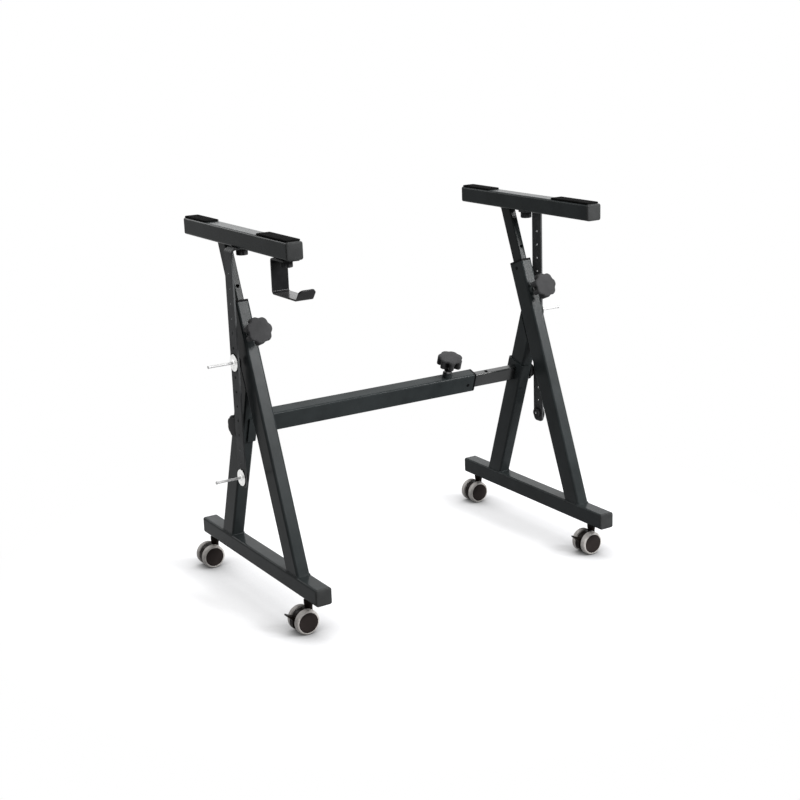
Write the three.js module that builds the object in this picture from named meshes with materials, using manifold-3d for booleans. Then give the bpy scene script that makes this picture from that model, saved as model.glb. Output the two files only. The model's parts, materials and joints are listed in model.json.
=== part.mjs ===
// Z keyboard stand: two leaning A-frames on casters, joined by a telescoping crossbar,
// each carrying a padded rail on a telescoping leg, with hanging bars and a headphone hook.
// Millimetres. X runs across the stand, Y to the back, Z up. The origin is on the floor
// under the middle of the feet. Every side piece is drawn with +X outward and mirrored.

import * as THREE from 'three';
import { mergeVertices } from 'three/addons/utils/BufferGeometryUtils.js';
import Module from 'manifold-3d';

const wasm = await Module();
wasm.setup();

// Clearances
const seatGap = 0.3;
const slideClearance = 0.4;
const overrun = 2;
const weldTolerance = 0.0001;

// Overall setting in the photograph
const standWidth = 635;
const casterHeight = 60;

// Feet and rails, square tube
const footWidth = 30;
const footLength = 450;
const footWall = 1.5;
const footCorner = 4;
const railLength = 400;
const railFrontInset = 38;
const capThickness = 4;
const capChamfer = 2;
const capPlugDepth = 9;

// Legs, rectangular tube
const legWidth = 25;
const legDepth = 40;
const legWall = 1.5;
const legCorner = 4;
const frontLegInset = 91;
const frontLegLean = 21.1;
const frontLegLength = 473;
const rearLegInset = 104;
const rearLegLean = 18.8;
const clampBelowMitre = 134.8;

// Sliding inner tubes
const innerWidth = 14;
const innerDepth = 28;
const innerWall = 1.2;
const innerCorner = 2.5;
const innerLegOverlap = 146;
const innerLegShowing = 111.2;
const innerHoleRadius = 3.5;
const legHolePitch = 44;
const legHolesAbove = 2;
const legHolesBelow = 1;

// Plastic bushes at the tube mouths
const bushRim = 4;
const bushSleeve = 24;
const bushNubRadius = 3;
const bushNubStand = 0.6;
const bushNubBelowMouth = 10;

// Crossbar
const crossbarOuterLength = 470;
const crossbarDepth = 25;
const crossbarTall = 38;
const crossbarOverlap = 349;
const crossbarKnobFromMouth = 57;
const crossbarNubFromMouth = 12.5;
const crossbarNubBelowMiddle = 2;
const crossbarHoleRadius = 4;
const crossbarHolePitch = 46;
const crossbarHolesInside = 5;
const crossbarHolesOutside = 2;

// Channel brackets and their clamp knobs
const bracketPlate = 3;
const bracketLength = 48;
const bracketCheek = 14;
const bracketBend = 1.5;
const bracketNutRadius = 5.4;
const bracketNutHeight = 7;

// Knobs
const screwRadius = 4;
const bossRadius = 9.5;
const bossHeight = 9;
const knobRadius = 24;
const knobLobes = 7;
const knobValleyShare = 0.15;
const knobNeckRadius = 8.5;
const knobCapHeight = 27;
const knobCapThickness = 18;
const knobRoundOver = 3.5;
const knobFlangeRadius = 12;
const knobFlangeThickness = 2.5;
const legKnobBelowMouth = 59;
const clampScrewRadius = 3;
const clampScrewInset = 2;
const clampNeckRadius = 7;
const clampCapStand = 1;
const clampKnobRadius = 19.5;
const clampKnobThickness = 10;
const clampKnobRoundOver = 3;

// Thumb knobs under the rails
const thumbRadius = 10.5;
const thumbLobes = 8;
const thumbThickness = 11;
const thumbRoundOver = 2;
const thumbScrewRadius = 2.7;
const thumbScrewReach = 8;

// Hanging bars, their pegs and nuts
const hangerWidth = 28;
const hangerPlate = 3;
const hangerBend = 6;
const hangerFlangeReach = 12;
const hangerDrop = 421;
const leftHangerFromFront = 195;
const rightHangerFromFront = 204;
const hangerTipCorner = 9;
const hangerKnobClearance = 0.5;
const pegHoleRadius = 2.5;
const pegHolePitch = 25.9;
const pegHoleCount = 15;
const lowestHoleUp = 17;
const upperPegHole = 8;
const pegRadius = 2.2;
const pegReach = 50;
const pegTipRadius = 2.8;
const pegTipLength = 3;
const washerRadius = 16;
const washerThickness = 1.6;
const nutRadius = 9.5;
const nutThickness = 6;
const nutBevel = 2;
const nutBevelHeight = 1;

// Headphone hook
const hookPlate = 3;
const hookBend = 3;
const hookFlange = 45;
const hookFromRailFront = 60;
const hookDrop = 60;
const hookTray = 84;
const hookLip = 19;
const hookLipAngle = 52;
const hookCorner = 7;
const hookKnobFromBend = 28;

// Pads on the rails
const padThickness = 3;
const padWidth = 27;
const padCorner = 3;
const padBevel = 1;
const frontPadInset = 4;
const frontPadLength = 108;
const rearPadInset = 2;
const rearPadLength = 90;

// Casters
const frontCasterInset = 51;
const rearCasterInset = 24;
const casterOutset = 4;
const casterTrail = 11;
const wheelRadius = 22;
const wheelInner = 7.3;
const wheelOuter = 19;
const tyreShoulder = 1.5;
const tyreShoulderWidth = 5;
const tyreSideFall = 2;
const hubRadius = 18.4;
const hubProud = 0.5;
const hubEdge = 2;
const axleRadius = 2.5;
const hoodWidth = 12;
const hoodRadius = 20;
const stemRadius = 5.5;
const stemCollarRadius = 8;
const stemCollarHeight = 4;
const casterThreadRadius = 4;
const casterThreadLength = 9;
const footNutRadius = 7.5;
const leverThickness = 3.2;
const leverLow = -25;
const leverHigh = 30;
const leverReach = 37;
const leverTabAngle = 7;

// Facets
const cornerSteps = 2;
const smallCornerSteps = 1;
const roundSteps = 20;
const boreSteps = 10;
const pegHoleSteps = 8;
const lobeSteps = 5;
const thumbLobeSteps = 3;
const bendSteps = 4;

// Values worked out from the driving dimensions
const degree = Math.PI / 180;
const sideX = (standWidth - footWidth) / 2;
const frontEnd = -footLength / 2;
const rearEnd = footLength / 2;
const footTop = casterHeight + footWidth;
const railFront = frontEnd + railFrontInset;
const railRear = railFront + railLength;
const railHeight = footTop + (frontLegLength + innerLegShowing) * Math.cos(frontLegLean * degree);
const railTop = railHeight + footWidth;
const innerBoreWidth = innerWidth + 2 * slideClearance;
const innerBoreDepth = innerDepth + 2 * slideClearance;
const bigReach = standWidth + footLength;
const legHalf = legWidth / 2;
const hangerInner = knobRadius + hangerKnobClearance;
const rearLegTilt = Math.tan(rearLegLean * degree);
const rearLegReach = ((footLength - frontLegInset - rearLegInset) * Math.cos(frontLegLean * degree))
  / Math.sin((frontLegLean + rearLegLean) * degree);
const clampUpRearLeg = rearLegReach - clampBelowMitre;
const crossbarHeight = footTop + clampUpRearLeg * Math.cos(rearLegLean * degree);
const crossbarY = rearEnd - rearLegInset - (crossbarHeight - footTop) * rearLegTilt;
const crossbarWebX = legHalf + seatGap + bracketPlate;

// Materials
const paint = { roughness: 0.45, metalness: 0.3 };
const plastic = { roughness: 0.6, metalness: 0 };
const finishes = {
  steel: { color: 0x303435, ...paint },
  innerSteel: { color: 0x4a4e4e, ...paint },
  gloss: { color: 0x141516, roughness: 0.2, metalness: 0.2 },
  cap: { color: 0x3c3e3f, ...plastic },
  bush: { color: 0x1c1e1f, ...plastic },
  pad: { color: 0x141515, roughness: 0.95, metalness: 0 },
  knob: { color: 0x3a3c3d, ...plastic },
  zinc: { color: 0xd0d0d0, roughness: 0.3, metalness: 0.9 },
  hood: { color: 0x17130f, ...plastic },
  wheel: { color: 0xa9a5a2, roughness: 0.7, metalness: 0 },
};

function finish(name) {
  return new THREE.MeshStandardMaterial(finishes[name]);
}

// Solids from closed geometry, facing out
function solid(geometry) {
  const bare = geometry.clone();
  bare.deleteAttribute('normal');
  bare.deleteAttribute('uv');
  const merged = mergeVertices(bare, weldTolerance);
  const corners = merged.index.array;
  const triVerts = [];
  for (let i = 0; i < corners.length; i += 3) {
    const [a, b, c] = [corners[i], corners[i + 1], corners[i + 2]];
    if (a !== b && b !== c && c !== a) triVerts.push(a, b, c);
  }
  const places = merged.attributes.position;
  if (signedVolume(places, triVerts) < 0) triVerts.reverse();
  const mesh = new wasm.Mesh({
    numProp: 3,
    vertProperties: new Float32Array(places.array),
    triVerts: new Uint32Array(triVerts),
  });
  return new wasm.Manifold(mesh);
}

function signedVolume(places, triVerts) {
  const [a, b, c] = [new THREE.Vector3(), new THREE.Vector3(), new THREE.Vector3()];
  let volume = 0;
  for (let i = 0; i < triVerts.length; i += 3) {
    a.fromBufferAttribute(places, triVerts[i]);
    b.fromBufferAttribute(places, triVerts[i + 1]);
    c.fromBufferAttribute(places, triVerts[i + 2]);
    volume += a.dot(b.cross(c)) / 6;
  }
  return volume;
}

function geometryOf(shape) {
  const mesh = shape.getMesh();
  const geometry = new THREE.BufferGeometry();
  geometry.setAttribute('position', new THREE.BufferAttribute(mesh.vertProperties.slice(), 3));
  geometry.setIndex(new THREE.BufferAttribute(mesh.triVerts.slice(), 1));
  return geometry;
}

function cut(shape, ...tools) {
  return tools.reduce((whole, tool) => whole.subtract(tool), shape);
}

function join(shape, ...others) {
  return others.reduce((whole, other) => whole.add(other), shape);
}

// A left-hand copy is the right-hand piece mirrored across X
function handed(shape, side) {
  const geometry = geometryOf(shape);
  if (side > 0) return geometry;
  geometry.scale(side, 1, 1);
  return geometryOf(solid(geometry));
}

function addPart(parent, name, shape, look, side = 1) {
  const mesh = new THREE.Mesh(handed(shape, side), finish(look));
  mesh.name = name;
  parent.add(mesh);
  return mesh;
}

function moved(geometry, x, y, z) {
  return geometry.translate(x, y, z);
}

// A tool drawn in the side's frame, seen from inside a turned group
function seenFrom(group, geometry) {
  group.updateMatrix();
  return geometry.applyMatrix4(group.matrix.clone().invert());
}

// Outlines
function roundedRect(width, height, corner) {
  const x = width / 2 - corner;
  const y = height / 2 - corner;
  const shape = new THREE.Shape();
  shape.absarc(x, y, corner, 0, Math.PI / 2, false);
  shape.absarc(-x, y, corner, Math.PI / 2, Math.PI, false);
  shape.absarc(-x, -y, corner, Math.PI, 1.5 * Math.PI, false);
  shape.absarc(x, -y, corner, 1.5 * Math.PI, 2 * Math.PI, false);
  shape.closePath();
  return shape;
}

function rectPoints(width, height, corner) {
  return roundedRect(width, height, corner).getPoints(smallCornerSteps);
}

function lobedPoints(radius, lobes, steps) {
  const points = [];
  for (let i = 0; i < lobes * steps; i += 1) {
    const angle = (i / (lobes * steps)) * 2 * Math.PI;
    const valley = ((1 - Math.cos(lobes * angle)) / 2) ** 2;
    const reach = radius * (1 - knobValleyShare * valley);
    points.push(new THREE.Vector2(reach * Math.cos(angle), reach * Math.sin(angle)));
  }
  return points;
}

// Straight bodies
function extrude(shape, length, curveSegments = cornerSteps) {
  return new THREE.ExtrudeGeometry(shape, { depth: length, bevelEnabled: false, curveSegments });
}

function tube(width, depth, corner, wall, length) {
  const outline = roundedRect(width, depth, corner);
  outline.holes.push(roundedRect(width - 2 * wall, depth - 2 * wall, corner - wall));
  return extrude(outline, length);
}

function bar(width, depth, corner, length) {
  return extrude(roundedRect(width, depth, corner), length);
}

function box(width, depth, height) {
  return new THREE.BoxGeometry(width, depth, height);
}

function rod(radius, length, steps = boreSteps) {
  return new THREE.CylinderGeometry(radius, radius, length, steps).rotateX(Math.PI / 2);
}

// A body of rings stacked along Z; each ring is a list of points and a height
function loft(rings) {
  const count = rings[0].points.length;
  const places = [];
  const faces = [];
  for (const ring of rings) {
    for (const point of ring.points) places.push(point.x, point.y, ring.z);
  }
  for (let r = 0; r + 1 < rings.length; r += 1) {
    for (let i = 0; i < count; i += 1) {
      const j = (i + 1) % count;
      const [a, b] = [r * count + i, r * count + j];
      faces.push(a, b, b + count, a, b + count, a + count);
    }
  }
  const lastRing = (rings.length - 1) * count;
  places.push(0, 0, rings[0].z, 0, 0, rings[rings.length - 1].z);
  const [bottom, top] = [lastRing + count, lastRing + count + 1];
  for (let i = 0; i < count; i += 1) {
    const j = (i + 1) % count;
    faces.push(bottom, j, i, top, lastRing + i, lastRing + j);
  }
  const geometry = new THREE.BufferGeometry();
  geometry.setAttribute('position', new THREE.Float32BufferAttribute(places, 3));
  geometry.setIndex(faces);
  return geometry;
}

// A turned body around Z from [radius, height] pairs that start and end on the axis
function turned(profile, steps = boreSteps) {
  const points = profile.map(([radius, height]) => new THREE.Vector2(radius, height));
  return new THREE.LatheGeometry(points, steps).rotateX(Math.PI / 2);
}

// The outline of a plate bent from strip, as straights and bends, starting along +X
function bentStrip(plate, moves) {
  const [left, right] = [[], []];
  const place = new THREE.Vector2();
  let heading = 0;
  const mark = () => {
    const normal = new THREE.Vector2(-Math.sin(heading), Math.cos(heading)).multiplyScalar(plate / 2);
    left.push(place.clone().add(normal));
    right.push(place.clone().sub(normal));
  };
  mark();
  for (const { straight, turn, radius } of moves) {
    if (straight !== undefined) {
      place.x += straight * Math.cos(heading);
      place.y += straight * Math.sin(heading);
      mark();
      continue;
    }
    const middle = radius + plate / 2;
    const step = (turn * degree) / bendSteps;
    const chord = 2 * middle * Math.sin(Math.abs(step) / 2);
    for (let i = 0; i < bendSteps; i += 1) {
      place.x += chord * Math.cos(heading + step / 2);
      place.y += chord * Math.sin(heading + step / 2);
      heading += step;
      mark();
    }
  }
  return new THREE.Shape([...right, ...left.reverse()]);
}

// Feet and rails: square tube along Y, plugged at both ends
function squareTube(length) {
  return tube(footWidth, footWidth, footCorner, footWall, length).rotateX(-Math.PI / 2);
}

function endCap() {
  const plugWidth = footWidth - 2 * footWall - 2 * seatGap;
  const plug = rectPoints(plugWidth, plugWidth, footCorner - footWall);
  const face = footWidth - 2 * capChamfer;
  return solid(loft([
    { points: plug, z: -capPlugDepth - seatGap },
    { points: plug, z: 0 },
    { points: rectPoints(footWidth, footWidth, footCorner), z: 0 },
    { points: rectPoints(footWidth, footWidth, footCorner), z: capThickness - capChamfer },
    { points: rectPoints(face, face, footCorner - capChamfer), z: capThickness },
  ]));
}

// The cap's flange stands just off the tube's end and ends the named length
function placeCaps(parent, prefix, front, rear, centreZ, side) {
  for (const [end, y, turn] of [['front', front, Math.PI / 2], ['rear', rear, -Math.PI / 2]]) {
    const cap = addPart(parent, `${prefix}_cap_${end}`, endCap(), 'cap', side);
    const inward = end === 'front' ? capThickness : -capThickness;
    cap.position.set(0, y + inward, centreZ);
    cap.rotation.x = turn;
  }
}

function casterPlaces() {
  return [['front', frontEnd + frontCasterInset], ['rear', rearEnd - rearCasterInset]];
}

function foot() {
  const tubeLength = footLength - 2 * capThickness - 2 * seatGap;
  const start = frontEnd + capThickness + seatGap;
  let shape = solid(moved(squareTube(tubeLength), 0, start, casterHeight + footWidth / 2));
  const nutHeight = casterThreadLength - footWall;
  for (const [, y] of casterPlaces()) {
    const nutZ = casterHeight + (casterThreadLength + footWall / 2) / 2;
    const nut = rod(footNutRadius, nutHeight + footWall / 2, boreSteps);
    shape = join(shape, solid(moved(nut, casterOutset, y, nutZ)));
    const bore = rod(casterThreadRadius + seatGap, 2 * (casterThreadLength + overrun));
    shape = cut(shape, solid(moved(bore, casterOutset, y, casterHeight)));
  }
  return shape;
}

function rail(screwPlaces) {
  const tubeLength = railLength - 2 * capThickness - 2 * seatGap;
  const start = railFront + capThickness + seatGap;
  const shape = solid(moved(squareTube(tubeLength), 0, start, railHeight + footWidth / 2));
  const bores = screwPlaces.map((y) => {
    const bore = rod(thumbScrewRadius + seatGap, 2 * (footWall + overrun));
    return solid(moved(bore, 0, y, railHeight));
  });
  return cut(shape, ...bores);
}

function pad(length) {
  const base = rectPoints(padWidth, length, padCorner);
  const top = rectPoints(padWidth - 2 * padBevel, length - 2 * padBevel, padCorner - padBevel);
  return solid(loft([
    { points: base, z: 0 },
    { points: base, z: padThickness - padBevel },
    { points: top, z: padThickness },
  ]));
}

// A block that fills everything below or above a level of the side's frame
function blockBelow(level) {
  return moved(box(bigReach, bigReach, bigReach), 0, 0, level - bigReach / 2);
}

function blockAbove(level) {
  return moved(box(bigReach, bigReach, bigReach), 0, 0, level + bigReach / 2);
}

function frontLegGroup() {
  const group = new THREE.Group();
  group.position.set(0, frontEnd + frontLegInset, footTop);
  group.rotation.x = -frontLegLean * degree;
  return group;
}

function rearLegGroup() {
  const group = new THREE.Group();
  group.position.set(0, rearEnd - rearLegInset, footTop);
  group.rotation.x = rearLegLean * degree;
  return group;
}

// A round bore along -Y, from the front face of a tube that is this deep
function frontBore(radius, depth, height, through) {
  const bore = rod(radius, 2 * through).rotateX(Math.PI / 2);
  return solid(moved(bore, 0, -depth / 2, height));
}

function sideBore(radius, halfWidth, y, height, through) {
  const bore = rod(radius, 2 * through).rotateY(Math.PI / 2);
  return solid(moved(bore, halfWidth, y, height));
}

function weldBoss(face, height) {
  const boss = rod(bossRadius, bossHeight, roundSteps).rotateX(Math.PI / 2);
  return solid(moved(boss, 0, -face - bossHeight / 2, height));
}

function frontLeg(group) {
  const start = -legDepth;
  const length = frontLegLength - start;
  const knobAt = frontLegLength - legKnobBelowMouth;
  const outer = solid(moved(tube(legWidth, legDepth, legCorner, legWall, length), 0, 0, start));
  const below = solid(seenFrom(group, blockBelow(footTop + seatGap)));
  const nubAt = frontLegLength - bushNubBelowMouth;
  return cut(
    join(outer, weldBoss(legDepth / 2 - legWall / 2, knobAt)),
    below,
    frontBore(screwRadius + seatGap, legDepth, knobAt, bossHeight + overrun),
    sideBore(bushNubRadius + seatGap, -legHalf, 0, nubAt, legWall + overrun),
  );
}

// Rim and sleeve around an upright opening, with a snap-in nub on one side
function bush(outerWidth, outerDepth, wall, corner, boreWidth, boreDepth, nub) {
  const fit = 2 * (wall + seatGap);
  const sleeve = rectPoints(outerWidth - fit, outerDepth - fit, corner - wall);
  const rim = rectPoints(outerWidth, outerDepth, corner);
  const body = solid(loft([
    { points: sleeve, z: -bushSleeve },
    { points: sleeve, z: seatGap },
    { points: rim, z: seatGap },
    { points: rim, z: bushRim },
  ]));
  const bore = moved(bar(boreWidth, boreDepth, innerCorner, bushSleeve + bushRim + 2 * overrun),
    0, 0, -bushSleeve - overrun);
  return cut(join(body, nub), solid(bore));
}

function legBush() {
  const length = (legWidth - innerBoreWidth) / 2 + bushNubStand - slideClearance;
  const nub = rod(bushNubRadius, length).rotateY(Math.PI / 2);
  const nubX = -legHalf - bushNubStand + length / 2;
  return bush(legWidth, legDepth, legWall, legCorner, innerBoreWidth, innerBoreDepth,
    solid(moved(nub, nubX, 0, -bushNubBelowMouth)));
}

function innerLeg(group) {
  const start = frontLegLength - innerLegOverlap;
  const lean = Math.cos(frontLegLean * degree);
  const length = (railHeight - footTop) / lean + legDepth - start;
  const shape = solid(moved(tube(innerWidth, innerDepth, innerCorner, innerWall, length), 0, 0, start));
  const above = solid(seenFrom(group, blockAbove(railHeight - seatGap)));
  const knobAt = frontLegLength - legKnobBelowMouth;
  const holes = [];
  for (let i = -legHolesBelow; i <= legHolesAbove; i += 1) {
    const at = knobAt + i * legHolePitch;
    holes.push(frontBore(innerHoleRadius, innerDepth, at, innerWall + overrun));
  }
  return cut(shape, above, ...holes);
}

// The rear leg is mitred against the front leg's back face
function rearLeg(group, frontGroup) {
  const length = rearLegReach + 2 * legDepth;
  const shape = solid(moved(tube(legWidth, legDepth, legCorner, legWall, length), 0, 0, -legDepth));
  const below = solid(seenFrom(group, blockBelow(footTop + seatGap)));
  const frontBlock = moved(box(bigReach, bigReach, bigReach), 0,
    legDepth / 2 + seatGap - bigReach / 2, 0);
  frontGroup.updateMatrix();
  const mitre = solid(seenFrom(group, frontBlock.applyMatrix4(frontGroup.matrix)));
  const across = sideBore(clampScrewRadius + seatGap, 0, 0, clampUpRearLeg, legWidth);
  return cut(shape, below, mitre, across);
}

// Channel that grips the inner side of the rear leg; +X is outward
function clampBracket() {
  const inner = legDepth + 2 * seatGap;
  const flat = inner - 2 * bracketBend;
  const cheek = bracketCheek - bracketBend + seatGap;
  const outline = bentStrip(bracketPlate, [
    { straight: cheek },
    { turn: 90, radius: bracketBend },
    { straight: flat },
    { turn: 90, radius: bracketBend },
    { straight: cheek },
  ]);
  const channel = extrude(outline, bracketLength).rotateZ(Math.PI);
  const tipX = -legHalf + bracketCheek;
  const cheekY = inner / 2 + bracketPlate / 2;
  const body = solid(moved(channel, tipX, cheekY, -bracketLength / 2));
  const nutLength = bracketNutHeight + bracketPlate;
  const nutX = -crossbarWebX - bracketNutHeight + nutLength / 2;
  const nut = moved(rod(bracketNutRadius, nutLength).rotateY(Math.PI / 2), nutX, 0, 0);
  const bore = rod(clampScrewRadius + seatGap, 2 * (legWidth + bracketNutHeight)).rotateY(Math.PI / 2);
  return cut(join(body, solid(nut)), solid(moved(bore, -legHalf, 0, 0)));
}

// Lobed cap with a rounded outer edge, standing between two heights
function lobedCap(radius, lobes, steps, bottom, top, roundOver) {
  const foot = roundOver / 2;
  return solid(loft([
    { points: lobedPoints(radius - foot, lobes, steps), z: bottom },
    { points: lobedPoints(radius, lobes, steps), z: bottom + foot },
    { points: lobedPoints(radius, lobes, steps), z: top - roundOver },
    { points: lobedPoints(radius - roundOver / 3, lobes, steps), z: top - roundOver / 3 },
    { points: lobedPoints(radius - roundOver, lobes, steps), z: top },
  ]));
}

// Star knob above a welded boss; Z = 0 is the tube's face and the screw goes below it
function starKnob(screwDepth) {
  const seat = bossHeight + seatGap;
  const shank = solid(turned([
    [0, -screwDepth],
    [screwRadius, -screwDepth],
    [screwRadius, seat],
    [knobFlangeRadius, seat],
    [knobFlangeRadius, seat + knobFlangeThickness],
    [knobNeckRadius, seat + knobFlangeThickness],
    [knobNeckRadius, knobCapHeight + overrun],
    [0, knobCapHeight + overrun],
  ]));
  const top = knobCapHeight + knobCapThickness;
  return join(lobedCap(knobRadius, knobLobes, lobeSteps, knobCapHeight, top, knobRoundOver), shank);
}

// Flat lobed knob whose screw crosses the rear leg into the bracket's nut
function clampKnob() {
  const screwEnd = legWidth + seatGap + bracketPlate + bracketNutHeight - clampScrewInset;
  const bottom = seatGap + clampCapStand;
  const neck = bottom + overrun;
  const shank = solid(turned([
    [0, -screwEnd],
    [clampScrewRadius, -screwEnd],
    [clampScrewRadius, seatGap],
    [clampNeckRadius, seatGap],
    [clampNeckRadius, neck],
    [0, neck],
  ]));
  const top = bottom + clampKnobThickness;
  return join(lobedCap(clampKnobRadius, knobLobes, lobeSteps, bottom, top, clampKnobRoundOver), shank);
}

// Thumb knob below a strap; Z = 0 is the strap's lower face and the screw goes up from it
function thumbKnob(strap) {
  const screwTop = strap + seatGap + thumbScrewReach;
  const screw = solid(moved(rod(thumbScrewRadius, screwTop + overrun), 0, 0,
    (screwTop - overrun) / 2));
  const cap = lobedCap(thumbRadius, thumbLobes, thumbLobeSteps, -thumbThickness - seatGap,
    -seatGap, thumbRoundOver);
  return join(cap, screw);
}

// Hanging bar: flange under the rail, rounded bend, long strap with a row of peg holes.
// X is outward from the rail's middle, Y across the strap, Z = 0 at the rail's underside.
function hangerBar() {
  const bendReach = hangerBend + hangerPlate / 2;
  const strapX = hangerInner + hangerPlate / 2;
  const flangeZ = -seatGap - hangerPlate / 2;
  const outline = bentStrip(hangerPlate, [
    { straight: strapX - bendReach + hangerFlangeReach },
    { turn: -90, radius: hangerBend },
    { straight: hangerDrop - bendReach },
  ]);
  const strip = extrude(outline, hangerWidth).rotateX(Math.PI / 2);
  const body = solid(moved(strip, -hangerFlangeReach, hangerWidth / 2, flangeZ));
  const drop = hangerDrop - flangeZ;
  const plan = roundedRect(hangerWidth, 2 * drop, hangerTipCorner);
  const tipShape = extrude(plan, bigReach).rotateX(Math.PI / 2).rotateZ(Math.PI / 2);
  const rounded = body.intersect(solid(moved(tipShape, -bigReach / 2, 0, 0)));
  const bores = pegHoleHeights().map((z) => {
    const bore = rod(pegHoleRadius, 2 * hangerPlate, pegHoleSteps).rotateY(Math.PI / 2);
    return solid(moved(bore, strapX, 0, z));
  });
  const screwBore = solid(moved(rod(thumbScrewRadius + seatGap, 2 * hangerPlate), 0, 0, flangeZ));
  return cut(rounded, ...bores, screwBore);
}

function pegHoleHeights() {
  const lowest = -seatGap - hangerPlate / 2 - hangerDrop + lowestHoleUp;
  return Array.from({ length: pegHoleCount }, (_, i) => lowest + i * pegHolePitch);
}

// Peg: washer against the strap, rod through it to the nut, tip outward along +Z
function peg() {
  const root = -hangerPlate - seatGap - nutThickness + seatGap;
  const washer = seatGap + washerThickness;
  return solid(turned([
    [0, root],
    [pegRadius, root],
    [pegRadius, seatGap],
    [washerRadius, seatGap],
    [washerRadius, washer],
    [pegRadius, washer],
    [pegRadius, pegReach - pegTipLength],
    [pegTipRadius, pegReach - pegTipLength / 2],
    [pegRadius, pegReach],
    [0, pegReach],
  ]));
}

function pegNut() {
  const half = nutThickness / 2;
  const body = solid(turned([
    [0, -half],
    [nutRadius - nutBevel, -half],
    [nutRadius, -half + nutBevelHeight],
    [nutRadius, half],
    [0, half],
  ]));
  return cut(body, solid(rod(pegRadius + seatGap, 2 * nutThickness)));
}

// Headphone hook: flange under the rail, plate down, tray forward, lip up and out.
// Y = 0 at the back face of the plate, forward is -Y, Z = 0 at the rail's underside.
function hook() {
  const bend = hookBend + hookPlate / 2;
  const outline = bentStrip(hookPlate, [
    { straight: hookFlange - bend },
    { turn: -90, radius: hookBend },
    { straight: hookDrop - hookPlate - 2 * bend },
    { turn: -90, radius: hookBend },
    { straight: hookTray - 2 * bend },
    { turn: -hookLipAngle, radius: hookBend },
    { straight: hookLip },
  ]);
  const strip = extrude(outline, footWidth).rotateX(Math.PI / 2).rotateZ(Math.PI / 2);
  const body = solid(moved(strip, -footWidth / 2, -hookFlange - hookPlate / 2, -seatGap - hookPlate / 2));
  const length = hookTray + hookLip;
  const plan = roundedRect(footWidth, 2 * length, hookCorner);
  const front = hookFrontReach();
  const rounded = body.intersect(solid(moved(extrude(plan, bigReach), 0, length - front, -bigReach / 2)));
  const bore = rod(thumbScrewRadius + seatGap, 4 * hookPlate);
  return cut(rounded, solid(moved(bore, 0, -hookKnobFromBend, 0)));
}

// How far the lip's tip lies in front of the plate's back face
function hookFrontReach() {
  const middle = hookBend + hookPlate / 2;
  const lip = hookLipAngle * degree;
  const tray = hookTray - middle + hookPlate / 2;
  const bendRun = middle * Math.sin(lip);
  return tray + bendRun + hookLip * Math.cos(lip) + (hookPlate / 2) * Math.sin(lip);
}

// Casters: Z = 0 on the floor, X = 0 on the stem, the wheels trail towards -X
function casterHood() {
  const stemTop = casterHeight - seatGap;
  const collarTop = stemTop - stemRadius / 2;
  const collarBase = collarTop - stemCollarHeight;
  const disc = moved(rod(hoodRadius, hoodWidth, roundSteps).rotateX(Math.PI / 2),
    -casterTrail, 0, wheelRadius);
  const stem = turned([
    [0, wheelRadius],
    [stemRadius, wheelRadius],
    [stemRadius, collarBase],
    [stemCollarRadius, collarBase + stemCollarRadius - stemRadius],
    [stemCollarRadius, collarTop],
    [stemRadius, stemTop],
    [casterThreadRadius, stemTop],
    [casterThreadRadius, casterHeight + casterThreadLength - seatGap],
    [0, casterHeight + casterThreadLength - seatGap],
  ]);
  const axleBore = rod(axleRadius + seatGap, 2 * hoodWidth).rotateX(Math.PI / 2);
  return cut(join(solid(disc), solid(stem)), solid(moved(axleBore, -casterTrail, 0, wheelRadius)));
}

// Both wheels and their axle; a flat of the many-sided tread rests on the floor
function wheelPair() {
  const flat = Math.cos(Math.PI / roundSteps);
  const tread = wheelRadius / flat;
  const half = [
    [hubRadius - hubEdge, wheelOuter + hubProud],
    [hubRadius, wheelOuter - hubProud],
    [tread - tyreShoulder, wheelOuter - tyreSideFall],
    [tread, wheelOuter - tyreShoulderWidth],
    [tread, wheelInner],
    [axleRadius, wheelInner],
  ];
  const face = wheelOuter + hubProud;
  const mirrored = half.map(([radius, y]) => [radius, -y]).reverse();
  const wheels = turned([[0, face], ...half, ...mirrored, [0, -face]], roundSteps);
  wheels.rotateZ(Math.PI / roundSteps).rotateX(Math.PI / 2);
  return solid(wheels);
}

// Brake lever: a shoe round the hood with a tab that stands out; drawn about the axle
function brakeLever() {
  const shoe = hoodRadius + seatGap;
  const back = shoe + leverThickness;
  const at = (radius, angle) => new THREE.Vector2(
    -radius * Math.cos(angle * degree),
    radius * Math.sin(angle * degree),
  );
  const outline = new THREE.Shape([
    ...arcPoints(leverLow, leverHigh).map((angle) => at(shoe, angle)),
    at(leverReach, leverHigh - leverTabAngle / 2),
    at(leverReach, leverHigh - leverTabAngle),
    at(back, leverHigh - 2 * leverTabAngle),
    ...arcPoints(leverHigh - 3 * leverTabAngle, leverLow).map((angle) => at(back, angle)),
  ]);
  const width = hoodWidth - 2 * seatGap;
  return solid(moved(extrude(outline, width).rotateX(Math.PI / 2), 0, width / 2, 0));
}

function arcPoints(from, to) {
  return Array.from({ length: bendSteps + 1 }, (_, i) => from + ((to - from) * i) / bendSteps);
}

function addCaster(parent, prefix, x, y, braked) {
  const caster = new THREE.Group();
  caster.position.set(x, y, 0);
  addPart(caster, `${prefix}_caster_hood`, casterHood(), 'hood');
  const wheels = addPart(caster, `${prefix}_caster_wheels`, wheelPair(), 'wheel');
  wheels.position.set(-casterTrail, 0, wheelRadius);
  if (braked) {
    const lever = addPart(caster, `${prefix}_brake_lever`, brakeLever(), 'hood');
    lever.position.set(-casterTrail, 0, wheelRadius);
  }
  parent.add(caster);
}

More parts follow.
